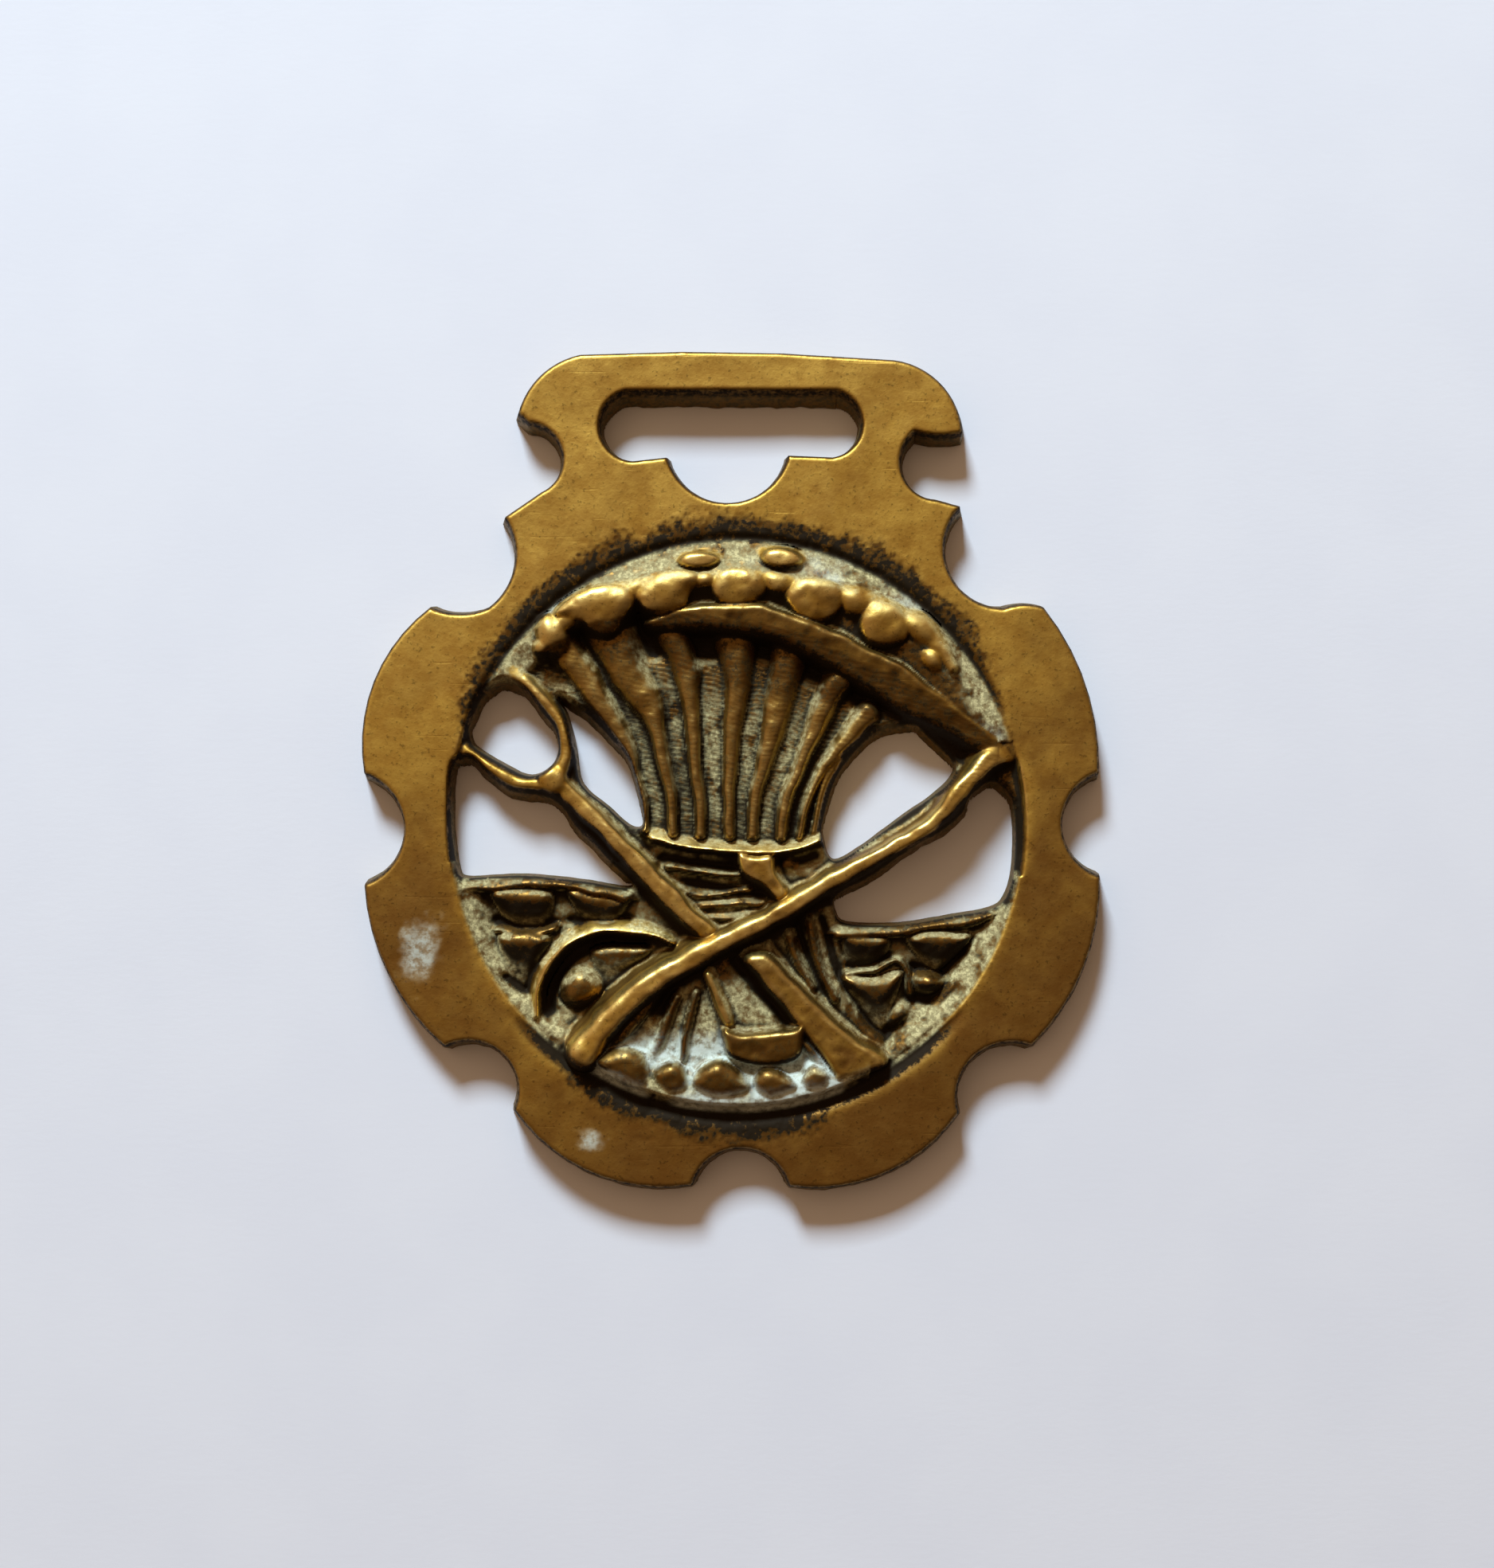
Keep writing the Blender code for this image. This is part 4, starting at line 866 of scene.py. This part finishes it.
    def rim_edges(self, mask):
        """Edges round a set of cells, as (from, to, cell beyond), with the cells on their left."""
        padded = np.pad(mask, 1)
        index = np.arange(self.x.size).reshape(self.x.shape)
        found = []
        for dj, di, start, end in ((-1, 0, (0, 0), (0, 1)), (0, 1, (0, 1), (1, 1)),
                                   (1, 0, (1, 1), (1, 0)), (0, -1, (1, 0), (0, 0))):
            beyond = padded[1 + dj : padded.shape[0] - 1 + dj, 1 + di : padded.shape[1] - 1 + di]
            j, i = np.nonzero(mask & ~beyond)
            outside_j, outside_i = j + dj, i + di
            within = (outside_j >= 0) & (outside_j < mask.shape[0])
            within &= (outside_i >= 0) & (outside_i < mask.shape[1])
            solid = np.zeros(len(j), bool)
            solid[within] = self.solid[outside_j[within], outside_i[within]]
            first = index[j + start[0], i + start[1]]
            last = index[j + end[0], i + end[1]]
            found.append(np.stack([first, last, solid], axis=1))
        return np.vstack(found)

    def quads(self, mask, offset=0):
        """The cells of a mask as quads, of the vertices that are offset from the front's."""
        j, i = np.nonzero(mask)
        width = self.x.shape[1]
        corner = j * width + i + offset
        return np.stack([corner, corner + 1, corner + width + 1, corner + width], axis=1)

    def shade(self):
        """Smooth normals over the front and the walls, the same for every piece that shares them."""
        faces = [self.quads(self.solid)]
        edges = self.rim_edges(self.solid)[:, :2]
        levels = [0, *self.row_of]
        for upper, lower in zip(levels, levels[1:]):
            faces.append(np.stack([edges[:, 1] + upper, edges[:, 0] + upper,
                                   edges[:, 0] + lower, edges[:, 1] + lower], axis=1))
        faces = np.vstack(faces)
        corners = self.points[faces]
        normal = np.cross(corners[:, 2] - corners[:, 0], corners[:, 3] - corners[:, 1])
        total = np.zeros(self.points.shape)
        for corner in range(4):
            np.add.at(total, faces[:, corner], normal)
        self.normals = total / np.maximum(np.linalg.norm(total, axis=1, keepdims=True), 1e-12)

    def piece(self, name):
        """One node's cells, those of the overlays that stand on it, and the level of its foot or None."""
        own = self.owner == NODE_ID[name]
        ground = ground_under(name)
        under = np.zeros(own.shape, bool)
        for other in NODES:
            found = ground_under(other)
            if found is not None and found[0] == name:
                under |= self.owner == NODE_ID[other]
        return own, under, ground[1] if ground else None


def build_mesh(casting, name):
    """Points, shown quads, hidden quads and other polygons of one node's closed mesh."""
    own, under, foot = casting.piece(name)
    count = casting.count
    everything = own | under
    extra_points = []
    floor_level = next((found[1] for found in map(ground_under, NODES) if found and found[0] == name), None)
    floor = len(casting.points)
    flat_front = np.stack([casting.x.ravel(), casting.y.ravel()], axis=1)
    if under.any():
        extra_points.append(np.column_stack([flat_front, np.full(count, floor_level)]))
    back = count
    if foot is not None:
        back = floor + (count if under.any() else 0)
        extra_points.append(np.column_stack([flat_front, np.full(count, foot)]))
    points = np.vstack([casting.points, *extra_points])

    shown = [casting.quads(own)]
    hidden = []
    polygons = []
    if under.any():
        hidden.append(casting.quads(under, floor))
        marked = {(a, b) for a, b, _ in casting.rim_edges(under)}
        for a, b, _ in casting.rim_edges(own):
            if (b, a) in marked:
                polygons.append([b, a, a + floor, b + floor])
    rim = casting.rim_edges(everything)
    own_edges = {(a, b) for a, b, _ in casting.rim_edges(own)}
    is_rim = casting.rim.ravel()

    def column(vertex):
        if foot is None and is_rim[vertex]:
            return [vertex + row for row in casting.row_of]
        return [vertex + back]

    levels = [0, *casting.row_of]
    open_edges = rim[rim[:, 2] == 0]
    for upper, lower in zip(levels, levels[1:]):
        shown.append(np.stack([open_edges[:, 1] + upper, open_edges[:, 0] + upper,
                               open_edges[:, 0] + lower, open_edges[:, 1] + lower], axis=1))
    for a, b, _ in rim[rim[:, 2] == 1]:
        offset = 0 if (a, b) in own_edges else floor
        polygons.append([b + offset, a + offset, *column(a), *column(b)[::-1]])
    # The back: the cell corners, moved to the last wall row along the side walls
    bottom = casting.quads(everything)[:, ::-1]
    lowest = np.arange(count) + back
    if foot is None:
        lowest = np.where(is_rim, np.arange(count) + casting.row_of[-1], lowest)
    hidden.append(lowest[bottom])
    return points, shown, hidden, polygons


def make_object(casting, name, material):
    """One node's mesh with its colours of patina, worn metal and painted light and shade, its smooth
    normals and its material.
    """
    points, shown, hidden, polygons = build_mesh(casting, name)
    shown = np.vstack(shown)
    quads = np.vstack([shown, *hidden])
    loops = np.concatenate([quads.ravel(), np.array([v for polygon in polygons for v in polygon], int)])
    sizes = np.concatenate([np.full(len(quads), 4), np.array([len(p) for p in polygons], int)]).astype(int)
    used, loops = np.unique(loops, return_inverse=True)
    mesh = bpy.data.meshes.new(name + "_cast")
    mesh.vertices.add(len(used))
    mesh.vertices.foreach_set("co", (points[used] * MM).ravel())
    mesh.loops.add(len(loops))
    mesh.loops.foreach_set("vertex_index", loops.ravel().astype(np.int32))
    mesh.polygons.add(len(sizes))
    starts = np.concatenate([[0], np.cumsum(sizes)[:-1]])
    mesh.polygons.foreach_set("loop_start", starts.astype(np.int32))
    mesh.update(calc_edges=True)
    smooth_faces = np.zeros(len(sizes), bool)
    smooth_faces[: len(shown)] = True
    mesh.polygons.foreach_set("use_smooth", smooth_faces)
    source = used % casting.count
    wear_and_painted_light = mesh.attributes.new("wear_and_painted_light", "FLOAT_COLOR", "POINT")
    colour = casting.wear_and_painted_light.reshape(-1, 4)[source]
    colour[used >= casting.row_of[1]] = LOW_WALL_WEAR
    wear_and_painted_light.data.foreach_set("color", colour.ravel())
    custom = np.zeros((len(loops), 3))
    front_loops = len(shown) * 4
    front_points = used[loops[:front_loops]]
    custom[:front_loops] = casting.normals[np.minimum(front_points, len(casting.normals) - 1)]
    mesh.validate()
    mesh.normals_split_custom_set(custom)
    mesh.materials.append(material)
    piece = bpy.data.objects.new(name + "_cast", mesh)
    bpy.context.scene.collection.objects.link(piece)
    return piece


# ---- Materials ----


MIX_INPUTS = (0, 6, 7)  # of a colour mix: its factor and its two colours
MIX_RESULT = 2


class Nodes:
    """A small helper that writes a material's node tree."""

    def __init__(self, material):
        material.use_nodes = True
        self.tree = material.node_tree
        self.shader = self.tree.nodes["Principled BSDF"]
        self.place = self.add("ShaderNodeTexCoord").outputs["Object"]

    def add(self, kind, **values):
        """A new node. Each value sets a property of it, or an input of that name."""
        node = self.tree.nodes.new(kind)
        for key, value in values.items():
            if hasattr(node, key):
                setattr(node, key, value)
            else:
                node.inputs[key.replace("_", " ")].default_value = value
        return node

    def link(self, source, target):
        self.tree.links.new(source, target)
        return target

    def noise(self, scale, detail=4.0, roughness=0.55, stretch=(1, 1, 1), turn=0.0):
        """Noise over the object, stretched and turned in its plane."""
        mapping = self.add("ShaderNodeMapping", Scale=stretch, Rotation=(0, 0, math.radians(turn)))
        self.link(self.place, mapping.inputs["Vector"])
        node = self.add("ShaderNodeTexNoise", Scale=scale, Detail=detail, Roughness=roughness)
        self.link(mapping.outputs["Vector"], node.inputs["Vector"])
        return node.outputs["Fac"]

    def ramp(self, value, low, high, start=0.0, end=1.0):
        """Takes low to high smoothly to start to end."""
        node = self.add("ShaderNodeMapRange", From_Min=low, From_Max=high, To_Min=start, To_Max=end)
        node.interpolation_type = "SMOOTHSTEP"
        self.link(value, node.inputs["Value"])
        return node.outputs["Result"]

    def math(self, operation, first, second, clamp=False):
        node = self.add("ShaderNodeMath", operation=operation, use_clamp=clamp)
        for socket, value in zip(node.inputs, (first, second)):
            if isinstance(value, (int, float)):
                socket.default_value = value
            else:
                self.link(value, socket)
        return node.outputs["Value"]

    def times(self, first, second, clamp=False):
        return self.math("MULTIPLY", first, second, clamp)

    def plus(self, first, second, clamp=False):
        return self.math("ADD", first, second, clamp)

    def bump(self, height, strength, distance):
        """Roughens the surface by that height."""
        node = self.add("ShaderNodeBump", Strength=strength, Distance=distance)
        self.link(height, node.inputs["Height"])
        self.link(node.outputs["Normal"], self.shader.inputs["Normal"])

    def mix(self, factor, first, second):
        node = self.add("ShaderNodeMix", data_type="RGBA")
        for index, value in zip(MIX_INPUTS, (factor, first, second)):
            if isinstance(value, (int, float, tuple)):
                node.inputs[index].default_value = value
            else:
                self.link(value, node.inputs[index])
        return node.outputs[MIX_RESULT]


GOLD = (0.60, 0.38, 0.072, 1.0)
BROWN = (0.37, 0.198, 0.033, 1.0)
HIGH_GOLD = (0.76, 0.57, 0.19, 1.0)
DULL = (0.29, 0.155, 0.034, 1.0)
UMBER = (0.17, 0.090, 0.022, 1.0)
PATINA = (0.016, 0.010, 0.004, 1.0)
PALE = (0.60, 0.54, 0.28, 1.0)
PALE_DIM = (0.32, 0.28, 0.14, 1.0)
VERDIGRIS = (0.60, 0.68, 0.62, 1.0)
SHEET = (0.80, 0.83, 0.90, 1.0)
SHEET_DIM = (0.78, 0.81, 0.885, 1.0)


def cast_brass(name):
    """Old cast brass: golden where worn bright and in painted light, brown between, black in the pits
    and in painted shade, pale in the grounds and on painted lit slopes.
    """
    material = bpy.data.materials.new(name)
    n = Nodes(material)
    wear_and_painted_light = n.add("ShaderNodeAttribute", attribute_name="wear_and_painted_light")
    split = n.add("ShaderNodeSeparateColor")
    n.link(wear_and_painted_light.outputs["Color"], split.inputs["Color"])
    dark, pale, green = split.outputs["Red"], split.outputs["Green"], split.outputs["Blue"]
    polish_and_light = wear_and_painted_light.outputs["Alpha"]

    cloud = n.noise(160.0, 5.0, 0.6)
    fleck = n.noise(1100.0, 3.0, 0.65)
    speck = n.noise(2600.0, 2.0, 0.6)
    brushed = n.noise(520.0, 3.0, 0.6, stretch=(0.8, 1.1, 1.0), turn=-14.0)
    scratch = n.noise(1300.0, 2.0, 0.5, stretch=(0.10, 1.5, 1.0), turn=62.0)

    body = n.mix(n.times(n.ramp(cloud, 0.38, 0.66), 0.35), GOLD, BROWN)
    body = n.mix(n.times(n.ramp(fleck, 0.48, 0.72), 0.40), body, BROWN)
    # This channel also holds the painted light gradient: HIGH_GOLD towards the hanger, DULL towards the
    # lower right
    body = n.mix(n.ramp(polish_and_light, 0.42, 0.12), body, DULL)
    body = n.mix(n.times(n.ramp(polish_and_light, 0.42, 0.85), 0.9), body, HIGH_GOLD)
    body = n.mix(n.times(n.ramp(speck, 0.58, 0.72), 0.40), body, PATINA)
    # The dark map is patina and painted shade: UMBER, then PATINA where it is deepest
    body = n.mix(n.ramp(dark, 0.04, 0.46), body, UMBER)
    half_dark = n.times(dark, n.math("SUBTRACT", 1.0, dark))
    spots = n.plus(n.ramp(fleck, 0.25, 0.60, -0.6, 0.6), n.ramp(speck, 0.35, 0.65, -0.5, 0.5))
    uneven_dark = n.plus(dark, n.times(half_dark, spots))
    body = n.mix(n.ramp(uneven_dark, 0.36, 0.80), body, PATINA)
    # The pale map is dried residue and painted light on slopes that face the window
    residue_and_lit_pale = n.mix(n.ramp(speck, 0.40, 0.62), PALE_DIM, PALE)
    pale_cover = n.times(pale, n.ramp(fleck, 0.30, 0.58, 0.25, 1.0), clamp=True)
    body = n.mix(pale_cover, body, residue_and_lit_pale)
    green_cover = n.times(green, n.ramp(fleck, 0.32, 0.60, 0.35, 1.0), clamp=True)
    body = n.mix(green_cover, body, VERDIGRIS)
    n.link(body, n.shader.inputs["Base Color"])

    cover = n.math("MAXIMUM", pale_cover, green_cover)
    cover_dark = n.times(n.ramp(uneven_dark, 0.40, 0.85), 0.85)
    bare = n.math("SUBTRACT", 1.0, n.math("MAXIMUM", cover, cover_dark), clamp=True)
    n.link(bare, n.shader.inputs["Metallic"])
    n.shader.inputs["Specular IOR Level"].default_value = 0.12
    shine = n.ramp(brushed, 0.3, 0.7, 0.43, 0.53)
    shine = n.plus(shine, n.times(n.ramp(polish_and_light, 0.3, 0.8), -0.10))
    shine = n.plus(shine, n.times(cover, 0.42))
    shine = n.plus(shine, n.times(cover_dark, 0.30), clamp=True)
    n.link(shine, n.shader.inputs["Roughness"])

    relief = n.times(fleck, 0.55)
    relief = n.plus(relief, n.times(speck, 0.30))
    relief = n.plus(relief, n.times(brushed, 0.35))
    relief = n.plus(relief, n.times(n.ramp(scratch, 0.68, 0.74), -0.15))
    n.bump(relief, 0.32, 0.00012)
    return material


def paper():
    """The pale sheet that the casting lies on."""
    material = bpy.data.materials.new("pale_paper")
    n = Nodes(material)
    tone = n.mix(n.ramp(n.noise(60.0, 3.0), 0.3, 0.7), SHEET, SHEET_DIM)
    n.link(tone, n.shader.inputs["Base Color"])
    n.shader.inputs["Roughness"].default_value = 0.9
    n.bump(n.noise(1400.0, 3.0, stretch=(0.5, 1.4, 1.0)), 0.08, 0.00008)
    return material


# ---- Stage, light and camera ----

VIEW_HEIGHT = 161.7  # millimetres of the table seen from top to bottom
CAMERA_HEIGHT = 205.0
DAYLIGHT_PLACE = (-0.266, 1.008, 0.588)
DAYLIGHT_SIZE = (0.28, 0.24)
DAYLIGHT_POWER = 23.5
DAYLIGHT_COLOUR = (0.73, 0.885, 1.0)
ROOM_DARK = (0.05, 0.024, 0.012, 1.0)
ROOM_BRIGHT = (0.62, 0.385, 0.215, 1.0)
ROOM_BRIGHT_SIDE = (-0.45, 0.89, 0.0)


def add_stage():
    """The table under the casting."""
    bpy.ops.mesh.primitive_plane_add(size=3.0, location=(0, 0, 0))
    floor = bpy.context.object
    floor.name = "floor"
    floor.data.materials.append(paper())


def add_area(name, place, aim, size, power, colour):
    """A rectangular light that faces its aim."""
    light = bpy.data.lights.new(name, "AREA")
    light.shape = "RECTANGLE"
    light.size, light.size_y = size
    light.energy = power
    light.color = colour
    lamp = bpy.data.objects.new(name, light)
    lamp.location = place
    lamp.rotation_mode = "QUATERNION"
    lamp.rotation_quaternion = (Vector(aim) - Vector(place)).to_track_quat("-Z", "Y")
    bpy.context.scene.collection.objects.link(lamp)


def add_light():
    """A window beyond the hanger, and a warm room that is brighter on that side."""
    add_area("window", DAYLIGHT_PLACE, (0.0, 0.0, 0.0), DAYLIGHT_SIZE, DAYLIGHT_POWER, DAYLIGHT_COLOUR)
    world = bpy.context.scene.world or bpy.data.worlds.new("room")
    bpy.context.scene.world = world
    world.use_nodes = True
    tree = world.node_tree
    background = tree.nodes["Background"]
    place = tree.nodes.new("ShaderNodeTexCoord")
    toward = tree.nodes.new("ShaderNodeVectorMath")
    toward.operation = "DOT_PRODUCT"
    toward.inputs[1].default_value = ROOM_BRIGHT_SIDE
    tree.links.new(place.outputs["Generated"], toward.inputs[0])
    ramp = tree.nodes.new("ShaderNodeMapRange")
    ramp.inputs["From Min"].default_value = -0.7
    ramp.inputs["From Max"].default_value = 0.8
    tree.links.new(toward.outputs["Value"], ramp.inputs["Value"])
    mix = tree.nodes.new("ShaderNodeMix")
    mix.data_type = "RGBA"
    factor, dim, bright = (mix.inputs[index] for index in MIX_INPUTS)
    dim.default_value = ROOM_DARK
    bright.default_value = ROOM_BRIGHT
    tree.links.new(ramp.outputs["Result"], factor)
    tree.links.new(mix.outputs[MIX_RESULT], background.inputs["Color"])
    background.inputs["Strength"].default_value = 1.0


def add_camera():
    """A camera straight above EYE that looks down at the table."""
    camera_data = bpy.data.cameras.new("camera")
    camera_data.sensor_width = 36.0
    camera_data.sensor_fit = "AUTO"
    camera_data.lens = 36.0 * CAMERA_HEIGHT / VIEW_HEIGHT
    camera_data.clip_start = 0.01
    camera_data.clip_end = 10.0
    camera = bpy.data.objects.new("camera", camera_data)
    camera.location = (EYE[0] * MM, EYE[1] * MM, CAMERA_HEIGHT * MM)
    bpy.context.scene.collection.objects.link(camera)
    bpy.context.scene.camera = camera


def slot_of(name):
    """The material slot that the record gives a node."""
    for part in frame["record"]["subparts"]:
        if part["node"] == name:
            return part["material_slot"]
    return name


def main():
    """Builds the stage and every piece of the casting."""
    bpy.context.scene.view_settings.view_transform = "Standard"
    add_camera()
    add_stage()
    add_light()
    casting = Casting()
    finishes = {slot: cast_brass(slot) for slot in sorted({slot_of(name) for name in NODES})}
    for name in NODES:
        piece = make_object(casting, name, finishes[slot_of(name)])
        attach(piece, "root")
        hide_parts(name)


main()
